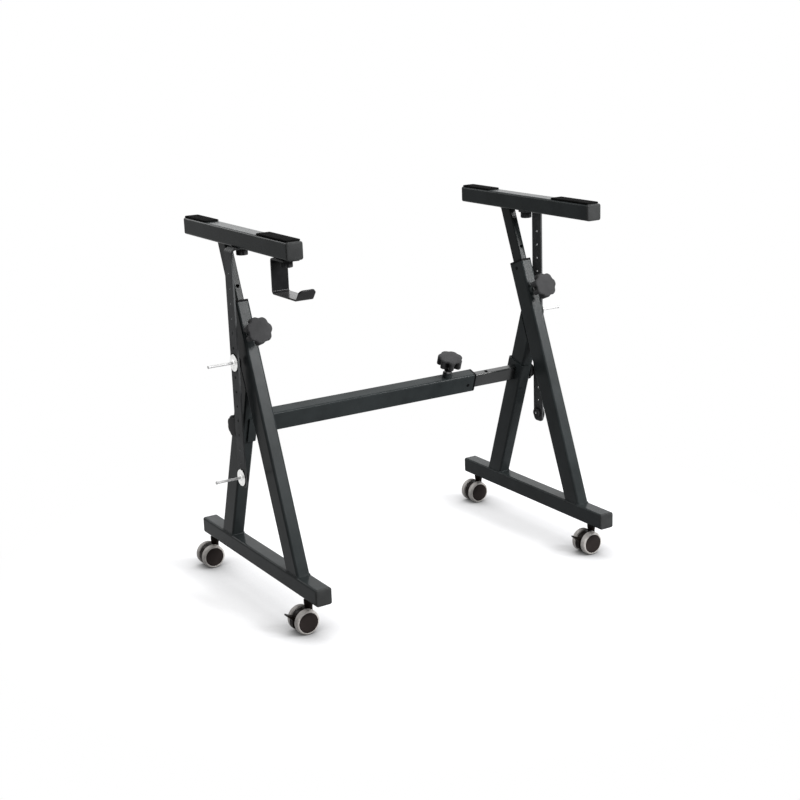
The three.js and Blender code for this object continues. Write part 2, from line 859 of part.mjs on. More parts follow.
// One A-frame with its foot, casters, legs, bracket and clamp knob
function addFrameSide(stand, name, side) {
  const group = new THREE.Group();
  group.position.x = side * sideX;
  addPart(group, `${name}_foot`, foot(), 'steel', side);
  placeCaps(group, `${name}_foot`, frontEnd, rearEnd, casterHeight + footWidth / 2, side);

  const front = frontLegGroup();
  addPart(front, `${name}_front_leg`, frontLeg(front), 'steel', side);
  const bushMesh = addPart(front, `${name}_leg_bush`, legBush(), 'bush', side);
  bushMesh.position.z = frontLegLength;
  addPart(front, `${name}_inner_leg`, innerLeg(front), 'innerSteel', side);
  const screwDepth = (legDepth - innerDepth) / 2 - seatGap;
  const knob = addPart(front, `${name}_leg_knob`, starKnob(screwDepth), 'knob', side);
  knob.position.set(0, -legDepth / 2, frontLegLength - legKnobBelowMouth);
  knob.rotation.x = Math.PI / 2;
  group.add(front);

  const rear = rearLegGroup();
  addPart(rear, `${name}_rear_leg`, rearLeg(rear, front), 'steel', side);
  const bracket = addPart(rear, `${name}_clamp_bracket`, clampBracket(), 'steel', side);
  bracket.position.z = clampUpRearLeg;
  const clamp = addPart(rear, `${name}_clamp_knob`, clampKnob(), 'knob');
  clamp.position.set(side * legHalf, 0, clampUpRearLeg);
  clamp.rotation.y = side * (Math.PI / 2);
  group.add(rear);

  for (const [end, y] of casterPlaces()) {
    addCaster(group, `${name}_${end}`, side * casterOutset, y, end === 'front');
  }
  stand.add(group);
}

// One rail with its caps, pads, hanging bar, pegs and, on the left, the headphone hook
function addRailSide(stand, name, side) {
  const group = new THREE.Group();
  group.position.x = side * sideX;
  const hooked = side < 0;
  const hangerY = railFront + (hooked ? leftHangerFromFront : rightHangerFromFront);
  const hookBack = railFront + hookFromRailFront;
  const screws = hooked ? [hangerY, hookBack - hookKnobFromBend] : [hangerY];
  addPart(group, `${name}_rail`, rail(screws), 'steel', side);
  placeCaps(group, `${name}_rail`, railFront, railRear, railHeight + footWidth / 2, side);

  const pads = [
    ['front', frontPadLength, railFront + frontPadInset + frontPadLength / 2],
    ['rear', rearPadLength, railRear - rearPadInset - rearPadLength / 2],
  ];
  for (const [end, length, y] of pads) {
    const mesh = addPart(group, `${name}_pad_${end}`, pad(length), 'pad', side);
    mesh.position.set(0, y, railTop + seatGap);
  }

  const hanger = addPart(group, `${name}_hanger_bar`, hangerBar(), 'steel', side);
  hanger.position.set(0, hangerY, railHeight);
  const knob = addPart(group, `${name}_hanger_knob`, thumbKnob(hangerPlate), 'knob', side);
  knob.position.set(0, hangerY, railHeight - seatGap - hangerPlate);
  const heights = pegHoleHeights();
  for (const [level, hole] of [['lower', 0], ['upper', upperPegHole]]) {
    const z = railHeight + heights[hole];
    const outer = side * (hangerInner + hangerPlate);
    const pin = addPart(group, `${name}_peg_${level}`, peg(), 'zinc');
    pin.position.set(outer, hangerY, z);
    pin.rotation.y = side * (Math.PI / 2);
    const nut = addPart(group, `${name}_peg_nut_${level}`, pegNut(), 'knob');
    nut.position.set(side * (hangerInner - seatGap - nutThickness / 2), hangerY, z);
    nut.rotation.y = side * (Math.PI / 2);
  }

  if (hooked) {
    const hookMesh = addPart(group, 'hook', hook(), 'gloss', side);
    hookMesh.position.set(0, hookBack, railHeight);
    const hookKnob = addPart(group, 'hook_knob', thumbKnob(hookPlate), 'knob', side);
    hookKnob.position.set(0, hookBack - hookKnobFromBend, railHeight - seatGap - hookPlate);
  }
  stand.add(group);
}

// Crossbar, drawn along Z from the left bracket's web and then laid along X
function crossbarOuter() {
  const knobAt = crossbarOuterLength - crossbarKnobFromMouth;
  const nubAt = crossbarOuterLength - crossbarNubFromMouth;
  const outer = solid(tube(crossbarDepth, crossbarTall, legCorner, legWall, crossbarOuterLength));
  return cut(
    join(outer, weldBoss(crossbarTall / 2 - legWall / 2, knobAt)),
    frontBore(screwRadius + seatGap, crossbarTall, knobAt, bossHeight + overrun),
    sideBore(bushNubRadius + seatGap, crossbarDepth / 2, crossbarNubBelowMiddle, nubAt,
      legWall + overrun),
  );
}

function crossbarBush() {
  const length = (crossbarDepth - innerBoreWidth) / 2 + bushNubStand - slideClearance;
  const nub = rod(bushNubRadius, length).rotateY(Math.PI / 2);
  const nubX = crossbarDepth / 2 + bushNubStand - length / 2;
  return bush(crossbarDepth, crossbarTall, legWall, legCorner, innerBoreWidth, innerBoreDepth,
    solid(moved(nub, nubX, crossbarNubBelowMiddle, -crossbarNubFromMouth)));
}

function crossbarInner() {
  const start = crossbarOuterLength - crossbarOverlap;
  const end = 2 * (sideX - crossbarWebX) - 2 * seatGap;
  const shape = solid(moved(tube(innerWidth, innerDepth, innerCorner, innerWall, end - start), 0, 0, start));
  const knobAt = crossbarOuterLength - crossbarKnobFromMouth;
  const holes = [];
  for (let i = -crossbarHolesInside; i <= crossbarHolesOutside; i += 1) {
    const at = knobAt + i * crossbarHolePitch;
    holes.push(frontBore(crossbarHoleRadius, innerDepth, at, innerWall + overrun));
  }
  return cut(shape, ...holes);
}

// The brackets hold the crossbar square to the rear legs, so it leans with them
function addCrossbar(stand) {
  const leaning = new THREE.Group();
  leaning.position.set(-sideX + crossbarWebX + seatGap, crossbarY, crossbarHeight);
  leaning.rotation.x = rearLegLean * degree;
  const group = new THREE.Group();
  group.rotation.set(-Math.PI / 2, Math.PI / 2, 0);
  addPart(group, 'crossbar_outer', crossbarOuter(), 'steel');
  const bushMesh = addPart(group, 'crossbar_bush', crossbarBush(), 'bush');
  bushMesh.position.z = crossbarOuterLength;
  addPart(group, 'crossbar_inner', crossbarInner(), 'innerSteel');
  const screwDepth = (crossbarTall - innerDepth) / 2 - seatGap;
  const knob = addPart(group, 'crossbar_knob', starKnob(screwDepth), 'knob');
  knob.position.set(0, -crossbarTall / 2, crossbarOuterLength - crossbarKnobFromMouth);
  knob.rotation.x = Math.PI / 2;
  leaning.add(group);
  stand.add(leaning);
}

const stand = new THREE.Group();
for (const [name, side] of [['left', -1], ['right', 1]]) {
  addFrameSide(stand, name, side);
  addRailSide(stand, name, side);
}
addCrossbar(stand);

export default stand;
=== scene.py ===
import json
import math

import bmesh
import bpy
from mathutils import Matrix, Vector


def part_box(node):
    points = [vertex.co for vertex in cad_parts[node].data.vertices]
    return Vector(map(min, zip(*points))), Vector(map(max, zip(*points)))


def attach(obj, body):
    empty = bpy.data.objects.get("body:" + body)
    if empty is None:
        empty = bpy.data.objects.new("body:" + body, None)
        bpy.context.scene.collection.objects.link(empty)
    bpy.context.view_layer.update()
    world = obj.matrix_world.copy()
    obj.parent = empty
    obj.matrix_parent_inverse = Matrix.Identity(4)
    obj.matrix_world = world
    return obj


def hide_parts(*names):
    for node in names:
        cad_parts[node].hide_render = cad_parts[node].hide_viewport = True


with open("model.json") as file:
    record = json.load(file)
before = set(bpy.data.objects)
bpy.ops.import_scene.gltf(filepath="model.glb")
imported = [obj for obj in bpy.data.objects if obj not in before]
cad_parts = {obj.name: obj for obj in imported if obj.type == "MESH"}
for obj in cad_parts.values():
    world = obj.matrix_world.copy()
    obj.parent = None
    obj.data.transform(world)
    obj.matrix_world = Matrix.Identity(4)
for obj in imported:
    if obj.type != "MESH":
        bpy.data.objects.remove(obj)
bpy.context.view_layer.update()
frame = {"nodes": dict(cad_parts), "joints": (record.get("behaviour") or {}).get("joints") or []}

# A Z keyboard stand: steel tubes, moulded knobs, twin-wheel casters, hanging bars and a hook.
# Metres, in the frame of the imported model: X across the stand, Y to the back, Z up.

MERGE = 1e-6
SMOOTH_ANGLE = math.radians(32)
QUARTER_TURN = math.pi / 2
SIDES = (("left", -1), ("right", 1))
ENDS = ("front", "rear")

# Camera, from the photograph's own lines
CAMERA_PLACE = Vector((-1.33267, -2.17602, 1.00974))
CAMERA_YAW = 0.548
CAMERA_PITCH = 0.2658
CAMERA_ROLL = 0.0355
FOCAL_LENGTH_PX = 1428.33
PICTURE_WIDTH_PX = 800
SENSOR_WIDTH_MM = 36

# Finish of the CAD model's own pieces
WELD_DISTANCE = 1e-5
SAME_PLANE = math.radians(0.5)
SMALLEST_FLAT = 1e-6
LARGEST_FACES_ONLY = 100

# Tubes, as width, depth and corner radius, and the places where the legs are welded
TUBE_CORNER = 0.004
LEG_TUBE = (0.025, 0.040, TUBE_CORNER)
INNER_TUBE = (0.014, 0.028, 0.0025)
FRONT_LEG_LEAN = math.radians(21.1)
REAR_LEG_LEAN = math.radians(18.8)
FRONT_LEG_Y = -0.134
REAR_LEG_Y = 0.121
FOOT_TOP = 0.090
RAIL_BOTTOM = 0.635
TUBE_CORNER_STEPS = 5

# Weld beads
WELD_RADIUS = 0.0016
WELD_SIDES = 8
WELD_RIPPLE = 0.12
WELD_RIPPLE_STEP = 2.1
WELD_SPACING = 0.0012

# End caps, from the plug to the face: how much narrower than the tube, and how far in
CAP_STEPS = (
    (0.0036, 0.0130),
    (0.0036, 0.0040),
    (0.0, 0.0040),
    (0.0, 0.0020),
    (0.0005, 0.0012),
    (0.0014, 0.0006),
    (0.0030, 0.0002),
    (0.0080, 0.0),
)
CAP_LEAST_CORNER = 0.001

# Rubber pads, from the rail up: inset from the outline, and height
PAD_LAYERS = (
    (0.0, 0.0),
    (0.0, 0.0016),
    (0.0003, 0.0022),
    (0.0009, 0.0026),
    (0.0020, 0.0028),
    (0.0060, 0.0030),
)
PAD_CORNER = 0.0035
PAD_LEAST_CORNER = 0.0008
PAD_SPACING = 0.006

# Lobed knobs; the valleys between the lobes are a share of the radius deep
KNOB_LOBES = 7
KNOB_STEPS = 12
KNOB_DOME_STEPS = 5
KNOB_VALLEY_SHARE = 0.12
KNOB_VALLEY_SHARPNESS = 1.7

# Star knobs, with heights above the face of the tube
KNOB_RADIUS = 0.024
KNOB_UNDERCUT = 0.32
LEG_KNOB_TURN = math.radians(6)
CROSSBAR_KNOB_TURN = math.radians(-9)
KNOB_CAP_BOTTOM = 0.0245
KNOB_CAP_TOP = 0.045
KNOB_DOME = 0.0008
KNOB_NECK_RADIUS = 0.0080
KNOB_NECK_LENGTH = 0.0105
KNOB_NECK_EDGE = 0.0008
KNOB_NECK_OVERLAP = 0.004
BOSS_HEIGHT = 0.009
SHANK_RADIUS = 0.0072
SHANK_GAP = 0.0003
SHANK_OVERLAP = 0.001
SCREW_RADIUS = 0.004
SCREW_DEPTH = 0.004
SHAFT_STEPS = 40

# Clamp knobs, with heights above the face of the rear leg
CLAMP_KNOB_RADIUS = 0.0195
CLAMP_KNOB_BOTTOM = 0.0013
CLAMP_KNOB_TOP = 0.0113
CLAMP_KNOB_DOME = 0.0003
CLAMP_SCREW_RADIUS = 0.003
CLAMP_SCREW_DEPTH = 0.030
CLAMP_HUB_RADIUS = 0.007
CLAMP_HUB_BOTTOM = 0.0003
CLAMP_HUB_TOP = 0.004
CLAMP_SCREW_STEPS = 32

# Thumb knobs
THUMB_RADIUS = 0.0105
THUMB_LOBES = 8
THUMB_HEIGHT = 0.011
THUMB_DOME = 0.0002
THUMB_SCREW_RADIUS = 0.0027
THUMB_SCREW_START = 0.004
THUMB_SCREW_STEPS = 20

# Bent plates
PLATE_CORNER_STEPS = 8
PLATE_BEND_STEPS = 8
PLATE_EDGE = 0.0004
HOLE_STEPS = 24
HOLE_PLAY = 0.0003
PLATE = 0.003
BAR_BEND = 0.0075
BAR_TIP_CORNER = 0.009
PEG_HOLE_RADIUS = 0.0025
PEG_HOLE_PITCH = 0.0259
PEG_HOLE_COUNT = 15
LOWEST_HOLE_UP = 0.0170
HOOK_BEND = 0.0045
HOOK_FLANGE = 0.045
HOOK_LIP_ANGLE = math.radians(52)
HOOK_LIP = 0.019
HOOK_CORNER = 0.007
HOOK_FLANGE_CORNER = 0.002

# Pegs and their nuts, with heights above the outer face of the hanging bar
PEG_RADIUS = 0.0022
PEG_REACH = 0.050
PEG_TAIL = 0.009
PEG_HEAD_RADIUS = 0.0028
PEG_HEAD_LENGTH = 0.0026
PEG_HEAD_START = 0.0034
RUBBER_BOTTOM = 0.0003
RUBBER_THICKNESS = 0.0006
WASHER_RADIUS = 0.016
WASHER_INSET = 0.0012
WASHER_THICKNESS = 0.0010
WASHER_EDGE = 0.0003
WASHER_CONE_RADIUS = 0.0052
WASHER_CONE_TOP_RADIUS = 0.0046
NUT_RADIUS = 0.0095
NUT_HALF = 0.003
NUT_CHAMFER = 0.0009
NUT_RIDGES = 24
NUT_KNURL = 0.00035

# Casters, with heights above the floor
WHEEL_RADIUS = 0.022
WHEEL_INNER = 0.0073
WHEEL_OUTER = 0.0190
HUB_RADIUS = 0.0184
HUB_PROUD = 0.0005
AXLE_RADIUS = 0.0025
AXLE_OVERLAP = 0.002
AXLE_STEPS = 24
WHEEL_STEPS = 96
HOOD_RADIUS = 0.0203
HOOD_HALF = 0.0062
HOOD_EDGE = 0.0022
HOOD_VOXEL = 0.0006
HOOD_STEPS = 64
STEM_STEPS = 48
STEM_RADIUS = 0.0055
COLLAR_RADIUS = 0.0080
CASTER_HEIGHT = 0.0597
LEVER_SHOE = 0.0206
LEVER_BACK = 0.0236
LEVER_REACH = 0.037
LEVER_LOW = math.radians(-25)
LEVER_HIGH = math.radians(30)
LEVER_TAB = math.radians(7)
LEVER_STEPS = 16
LEVER_EDGE = 0.0006

# Surface detail: noise scales per metre, and depths in metres
CLOUD_SCALE = 22
PEEL_SCALE = 900
PEEL_DEPTH = 0.000012
SPARK_SCALE = 2200
GRAIN_SCALE = 5200
GRAIN_DEPTH = 0.000003
FOAM_DUST_SCALE = 60
FOAM_PIT_SCALE = 1500
FOAM_PIT_DEPTH = 0.00012
WAVE_SCALE = 420
FOAM_WAVE_DEPTH = 0.00010
ENAMEL_WAVE_DEPTH = 0.00002
ENAMEL_HAZE_SCALE = 70
ZINC_BLOOM_SCALE = 160
ZINC_STREAK_SCALE = 2600
ZINC_STREAK_STRETCH = (4.0, 0.4, 0.4)
ZINC_STREAK_DEPTH = 0.00001
TREAD_DUST_SCALE = 110
TREAD_GRAIN_SCALE = 900
TREAD_GRAIN_DEPTH = 0.00004
OCCLUSION_SAMPLES = 16
# Colour and power of the painted shade in tight hollows
HOLLOW_SHADE_COLOUR = (0.001, 0.001, 0.001, 1.0)
HOLLOW_SHADE_POWER = 3.0

# Floor and lamps; each lamp has its place, the point it faces, width, height and radiance
WORLD_LIGHT = 0.36
FLOOR_GLOW = 0.66
FLOOR_TINT = (0.34, 0.34, 0.35)
FLOOR_RADIUS = 40
FLOOR_STEPS = 96
FLOOR_FADE = (0.45, 0.80)
# Reach and power of the painted contact shadow that darkens the floor near the stand
CONTACT_REACH = 0.09
CONTACT_POWER = 1.3
LAMPS = (
    ("left_strip", (0.77, -2.05, 1.69), (-0.3, 0, 0.45), 0.45, 0.58, 56.0),
    ("left_low_strip", (0.70, -2.05, 1.15), (-0.3, 0, 0.45), 0.45, 0.48, 14.0),
    ("right_strip", (1.93, -2.05, 1.88), (0.3, 0, 0.45), 0.55, 0.80, 56.0),
    ("right_low_strip", (1.86, -2.05, 1.22), (0.3, 0, 0.45), 0.50, 0.48, 12.0),
    ("back_softbox", (3.2, 5.0, 2.25), (0, 0, 0.1), 3.4, 0.95, 1.7),
    ("side_softbox", (1.26, 1.23, 2.10), (0, 0, 0.3), 1.1, 1.1, 2.5),
    ("rim_softbox", (-0.80, 2.10, 1.45), (-0.3, 0, 0.6), 0.7, 1.0, 5.0),
    ("top_softbox", (0.10, 0.20, 2.40), (0.1, 0.2, 0), 1.2, 1.2, 8.0),
)


# Node trees and materials
class Graph:
    """A cleared node tree, with short ways to add and join its nodes."""

    def __init__(self, tree):
        self.tree = tree
        tree.nodes.clear()

    def add(self, kind, **settings):
        node = self.tree.nodes.new(kind)
        for name, value in settings.items():
            setattr(node, name, value)
        return node

    def link(self, source, target):
        self.tree.links.new(source, target)

    def maths(self, operation, *values):
        """The result of a maths node on sockets or plain numbers."""
        node = self.add("ShaderNodeMath", operation=operation)
        for value, target in zip(values, node.inputs):
            if isinstance(value, bpy.types.NodeSocket):
                self.link(value, target)
            else:
                target.default_value = value
        return node.outputs["Value"]

    def openness(self, reach, power):
        """1 on open faces, and less in hollows, where near faces shut out the light."""
        node = self.add("ShaderNodeAmbientOcclusion", samples=OCCLUSION_SAMPLES)
        node.inputs["Distance"].default_value = reach
        return self.maths("POWER", node.outputs["AO"], power)

    def seen_directly(self):
        """1 on camera, glossy and transmission rays."""
        rays = self.add("ShaderNodeLightPath").outputs
        plain = self.maths("MAXIMUM", rays["Is Camera Ray"], rays["Is Glossy Ray"])
        return self.maths("MAXIMUM", plain, rays["Is Transmission Ray"])

    def mix_to_output(self, factor, first, second, output):
        mix = self.add("ShaderNodeMixShader")
        end = self.add(output)
        self.link(factor, mix.inputs["Fac"])
        self.link(first.outputs[0], mix.inputs[1])
        self.link(second.outputs[0], mix.inputs[2])
        self.link(mix.outputs[0], end.inputs["Surface"])


class Surface(Graph):
    """A node material on object coordinates with one principled shader."""

    def __init__(self, name, roughness, metallic=0.0, specular=0.5):
        self.material = bpy.data.materials.new(name)
        self.material.use_nodes = True
        super().__init__(self.material.node_tree)
        self.coordinates = self.add("ShaderNodeTexCoord")
        self.shader = self.add("ShaderNodeBsdfPrincipled")
        self.shader.inputs["Roughness"].default_value = roughness
        self.shader.inputs["Metallic"].default_value = metallic
        self.shader.inputs["Specular IOR Level"].default_value = specular
        output = self.add("ShaderNodeOutputMaterial")
        self.link(self.shader.outputs["BSDF"], output.inputs["Surface"])

    def noise(self, scale, detail=2.0, stretch=None):
        node = self.add("ShaderNodeTexNoise")
        node.inputs["Scale"].default_value = scale
        node.inputs["Detail"].default_value = detail
        source = self.coordinates.outputs["Object"]
        if stretch:
            mapping = self.add("ShaderNodeMapping")
            mapping.inputs["Scale"].default_value = stretch
            self.link(source, mapping.inputs["Vector"])
            source = mapping.outputs["Vector"]
        self.link(source, node.inputs["Vector"])
        return node.outputs["Fac"]

    def cells(self, scale):
        node = self.add("ShaderNodeTexVoronoi")
        node.inputs["Scale"].default_value = scale
        self.link(self.coordinates.outputs["Object"], node.inputs["Vector"])
        return node.outputs["Distance"]

    def colour(self, value, *stops):
        """A base colour that follows a value through (place, colour) stops."""
        node = self.add("ShaderNodeValToRGB")
        elements = node.color_ramp.elements
        while len(elements) < len(stops):
            elements.new(0.5)
        for element, (place, colour) in zip(elements, stops):
            element.position = place
            element.color = (*colour, 1.0)
        self.link(value, node.inputs["Fac"])
        self.link(node.outputs["Color"], self.shader.inputs["Base Color"])

    def mottle(self, value, colour, darker, lighter, low=0.3, high=0.7):
        """A base colour that wanders between a darker and a lighter shade of itself."""
        self.colour(value, (low, shaded(colour, darker)), (high, shaded(colour, lighter)))

    def paint_hollow_shade(self, reach):
        """Darkens the base colour in tight hollows by ambient occlusion: painted shade."""
        base = self.shader.inputs["Base Color"]
        source = base.links[0].from_socket
        mix = self.add("ShaderNodeMix", data_type="RGBA")
        mix.inputs["A"].default_value = HOLLOW_SHADE_COLOUR
        self.link(self.openness(reach, HOLLOW_SHADE_POWER), mix.inputs["Factor"])
        self.link(source, mix.inputs["B"])
        self.link(mix.outputs["Result"], base)

    def roughen(self, value, low, high):
        """Roughness that follows a value from low to high."""
        node = self.add("ShaderNodeMapRange")
        node.inputs["To Min"].default_value = low
        node.inputs["To Max"].default_value = high
        self.link(value, node.inputs["Value"])
        self.link(node.outputs["Result"], self.shader.inputs["Roughness"])

    def bumps(self, *layers):
        """Layers of (height value, depth in metres), one on top of the other."""
        normal = None
        for value, depth in layers:
            node = self.add("ShaderNodeBump")
            node.inputs["Strength"].default_value = 1.0
            node.inputs["Distance"].default_value = depth
            self.link(value, node.inputs["Height"])
            if normal:
                self.link(normal, node.inputs["Normal"])
            normal = node.outputs["Normal"]
        self.link(normal, self.shader.inputs["Normal"])


def shaded(colour, share):
    return tuple(channel * share for channel in colour)


def powder_coat(name, colour, roughness, specular):
    """Satin powder coat: faint orange peel, fine grain and cloudy gloss."""
    surface = Surface(name, roughness, specular=specular)
    surface.mottle(surface.noise(CLOUD_SCALE, 4.0), colour, 0.82, 1.18)
    surface.roughen(surface.noise(3 * CLOUD_SCALE, 3.0), roughness - 0.05, roughness + 0.05)
    surface.bumps(
        (surface.noise(PEEL_SCALE), PEEL_DEPTH),
        (surface.noise(GRAIN_SCALE, 1.0), GRAIN_DEPTH),
    )
    return surface.material


def moulded_plastic(name, colour, roughness, depth, hollows=0.0):
    """Spark-eroded plastic skin: even grain, uneven gloss; hollows is the reach of its painted
    shade in tight hollows.
    """
    surface = Surface(name, roughness, specular=0.03)
    cloud = surface.noise(2 * CLOUD_SCALE, 3.0)
    surface.mottle(cloud, colour, 0.85, 1.15)
    surface.roughen(cloud, roughness - 0.06, roughness + 0.06)
    surface.bumps(
        (surface.noise(SPARK_SCALE, 3.0), depth),
        (surface.noise(GRAIN_SCALE, 1.0), depth / 2),
    )
    if hollows:
        surface.paint_hollow_shade(hollows)
    return surface.material


def foam_rubber(name, colour):
    """Closed-cell rubber: small pits and a dusty, matte face."""
    surface = Surface(name, 0.92, specular=0.01)
    surface.mottle(surface.noise(FOAM_DUST_SCALE, 5.0), colour, 0.7, 1.6, 0.35, 0.75)
    surface.bumps(
        (surface.cells(FOAM_PIT_SCALE), FOAM_PIT_DEPTH),
        (surface.noise(WAVE_SCALE, 3.0), FOAM_WAVE_DEPTH),
    )
    return surface.material


def zinc_plate(name, colour, sheen, metallic=1.0):
    """Zinc on turned steel: fine streaks along the axis and a faint bloom."""
    surface = Surface(name, sheen, metallic=metallic)
    bloom = surface.noise(ZINC_BLOOM_SCALE, 4.0)
    surface.mottle(bloom, colour, 0.86, 1.12)
    surface.roughen(bloom, 0.85 * sheen, 1.2 * sheen)
    streaks = surface.noise(ZINC_STREAK_SCALE, stretch=ZINC_STREAK_STRETCH)
    surface.bumps((streaks, ZINC_STREAK_DEPTH))
    return surface.material


def soft_tread(name):
    """Warm grey tyre with a little floor dust in its grain."""
    surface = Surface(name, 0.62, specular=0.35)
    dust = surface.noise(TREAD_DUST_SCALE, 5.0)
    surface.colour(
        dust,
        (0.30, (0.31, 0.295, 0.28)),
        (0.52, (0.40, 0.38, 0.36)),
        (0.75, (0.46, 0.44, 0.42)),
    )
    surface.roughen(dust, 0.52, 0.72)
    surface.bumps((surface.noise(TREAD_GRAIN_SCALE, 3.0), TREAD_GRAIN_DEPTH))
    return surface.material


def gloss_enamel(name, colour):
    """Gloss enamel with a slight wave, and dust that dulls it in patches."""
    surface = Surface(name, 0.18, specular=0.07)
    haze = surface.noise(ENAMEL_HAZE_SCALE, 5.0)
    surface.mottle(haze, colour, 0.9, 1.5, 0.35, 0.8)
    surface.roughen(haze, 0.12, 0.28)
    surface.bumps((surface.noise(WAVE_SCALE), ENAMEL_WAVE_DEPTH))
    return surface.material


steel = powder_coat("frame_steel", (0.0185, 0.0216, 0.0222), 0.22, 0.039)
inner_steel = powder_coat("inner_steel", (0.013, 0.015, 0.015), 0.22, 0.042)
slide_steel = powder_coat("slide_steel", (0.006, 0.007, 0.007), 0.30, 0.42)
# A lighter copy of the frame's powder coat with less sheen, for the hanging bars: painted light
bar_steel_painted_light = powder_coat("bar_steel_painted_light", (0.072, 0.074, 0.075), 0.32, 0.012)
cap_plastic = moulded_plastic("end_cap", (0.031, 0.032, 0.032), 0.42, 0.000020)
bush_plastic = moulded_plastic("bush", (0.0015, 0.0015, 0.0018), 0.45, 0.000015)
# The knob plastic has painted shade in its tight hollows, such as the valleys between the lobes
knob_plastic = moulded_plastic("knob", (0.035, 0.035, 0.036), 0.55, 0.000040, 0.014)
hood_plastic = moulded_plastic("caster_hood", (0.008, 0.006, 0.005), 0.35, 0.000012)
hub_plastic = moulded_plastic("caster_hub", (0.019, 0.0155, 0.0145), 0.50, 0.000020)
pad_rubber = foam_rubber("pad", (0.0044, 0.0044, 0.0044))
zinc = zinc_plate("zinc", (0.80, 0.80, 0.79), 0.34)
rod_zinc = zinc_plate("rod_zinc", (0.46, 0.46, 0.46), 0.55, 0.3)
# A darkened copy of the zinc for the knobs' collars and screws: painted shade under the caps
collar_zinc_painted_shade = zinc_plate("collar_zinc_painted_shade", (0.11, 0.11, 0.11), 0.30)
tread = soft_tread("caster_wheel")
enamel = gloss_enamel("hook_steel", (0.008, 0.008, 0.0085))


# Objects and meshes
def placed(name, data):
    """A new object, linked to the scene."""
    thing = bpy.data.objects.new(name, data)
    bpy.context.scene.collection.objects.link(thing)
    return thing


def mesh_from(name, bm):
    mesh = bpy.data.meshes.new(name)
    bm.to_mesh(mesh)
    bm.free()
    return mesh


def finish_piece(name, bm, look, body, slot, *replaced):
    """Turns a bmesh in the shared frame into a piece that rides on a body."""
    bmesh.ops.remove_doubles(bm, verts=bm.verts, dist=MERGE)
    bmesh.ops.recalc_face_normals(bm, faces=bm.faces)
    return adopt(name, mesh_from(name, bm), look, body, slot, *replaced)


def adopt(name, mesh, look, body, slot, *replaced):
    """Gives a mesh its look and shading and makes it a piece that rides on a body."""
    mesh.shade_smooth()
    mesh.set_sharp_from_angle(angle=SMOOTH_ANGLE)
    mesh.materials.clear()
    mesh.materials.append(look)
    piece = placed(name, mesh)
    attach(piece, body)
    if replaced:
        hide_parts(*replaced)
    return piece


def add_modifier(piece, name, kind, **settings):
    modifier = piece.modifiers.new(name, kind)
    for setting, value in settings.items():
        setattr(modifier, setting, value)


def evaluated_mesh(piece):
    """The mesh of an object with its modifiers applied; the object is removed."""
    bpy.context.view_layer.update()
    depsgraph = bpy.context.evaluated_depsgraph_get()
    mesh = bpy.data.meshes.new_from_object(piece.evaluated_get(depsgraph))
    bpy.data.objects.remove(piece)
    return mesh


def soften(piece, width):
    """Rounds the sharp edges of a piece."""
    add_modifier(piece, "edges", "BEVEL", width=width, segments=2, limit_method="ANGLE",
                 angle_limit=math.radians(50), harden_normals=True)


def vertex_rings(bm, rings):
    return [[bm.verts.new(point) for point in ring] for ring in rings]


def skin(bm, made):
    """Faces from each ring of vertices to the next; a ring of one vertex closes an end."""
    for lower, upper in zip(made, made[1:]):
        for i in range(max(len(lower), len(upper))):
            corners = [
                lower[i % len(lower)],
                lower[(i + 1) % len(lower)],
                upper[(i + 1) % len(upper)],
                upper[i % len(upper)],
            ]
            bm.faces.new(list(dict.fromkeys(corners)))


def stack(bm, rings):
    """Skins rings of points one after the other; a ring of one point closes an end."""
    skin(bm, vertex_rings(bm, rings))


def stack_loop(bm, rings):
    """Skins rings of points one after the other, and the last one to the first."""
    made = vertex_rings(bm, rings)
    skin(bm, [*made, made[0]])


def stack_flat(bm, rings):
    """Skins rings that may differ in length by the nearest share round them, with flat ends."""
    count = max(len(ring) for ring in rings)
    made = vertex_rings(bm, [
        [ring[int(k * len(ring) / count)] for k in range(count)] for ring in rings
    ])
    skin(bm, made)
    bm.faces.new(made[0])
    bm.faces.new(made[-1])


def circle(radius, steps):
    """Points (x, y) round a circle, from +X on."""
    angles = [2 * math.pi * k / steps for k in range(steps)]
    return [(radius * math.cos(angle), radius * math.sin(angle)) for angle in angles]


def turned(bm, profile, steps, place):
    """A turned body from (radius, height) pairs; place maps its axis Z into the shared frame."""
    rings = []
    for radius, height in profile:
        points = circle(radius, steps) if radius else [(0, 0)]
        rings.append([place @ Vector((x, y, height)) for x, y in points])
    stack(bm, rings)


def corner_arc(before, corner, after, radius, steps):
    """Points of the arc that rounds a corner between two neighbours."""
    towards = (before - corner).normalized()
    away = (after - corner).normalized()
    half = towards.angle(away) / 2
    centre = corner + (towards + away).normalized() * (radius / math.sin(half))
    start = corner + towards * (radius / math.tan(half)) - centre
    end = corner + away * (radius / math.tan(half)) - centre
    sweep = start.angle_signed(end)
    turn = [Matrix.Rotation(-sweep * k / steps, 2) for k in range(steps + 1)]
    return [centre + rotation @ start for rotation in turn]


def filleted(corners, steps=4):
    """A line through (x, y, radius) corners, with an arc at each corner that has a radius."""
    points = []
    last = len(corners) - 1
    for i, (x, y, radius) in enumerate(corners):
        corner = Vector((x, y))
        if radius == 0 or i in (0, last):
            points.append(corner)
            continue
        before = Vector(corners[i - 1][:2])
        after = Vector(corners[i + 1][:2])
        points += corner_arc(before, corner, after, radius, steps)
    return points


def looped(corners, steps):
    """A closed outline with an arc at every (x, y, radius) corner."""
    points = []
    for i, (x, y, radius) in enumerate(corners):
        before = Vector(corners[i - 1][:2])
        after = Vector(corners[(i + 1) % len(corners)][:2])
        points += corner_arc(before, Vector((x, y)), after, radius, steps)
    return points


def rounded_rect(width, height, corner):
    x = width / 2
    y = height / 2
    corners = [(x, y, corner), (-x, y, corner), (-x, -y, corner), (x, -y, corner)]
    return looped(corners, TUBE_CORNER_STEPS)


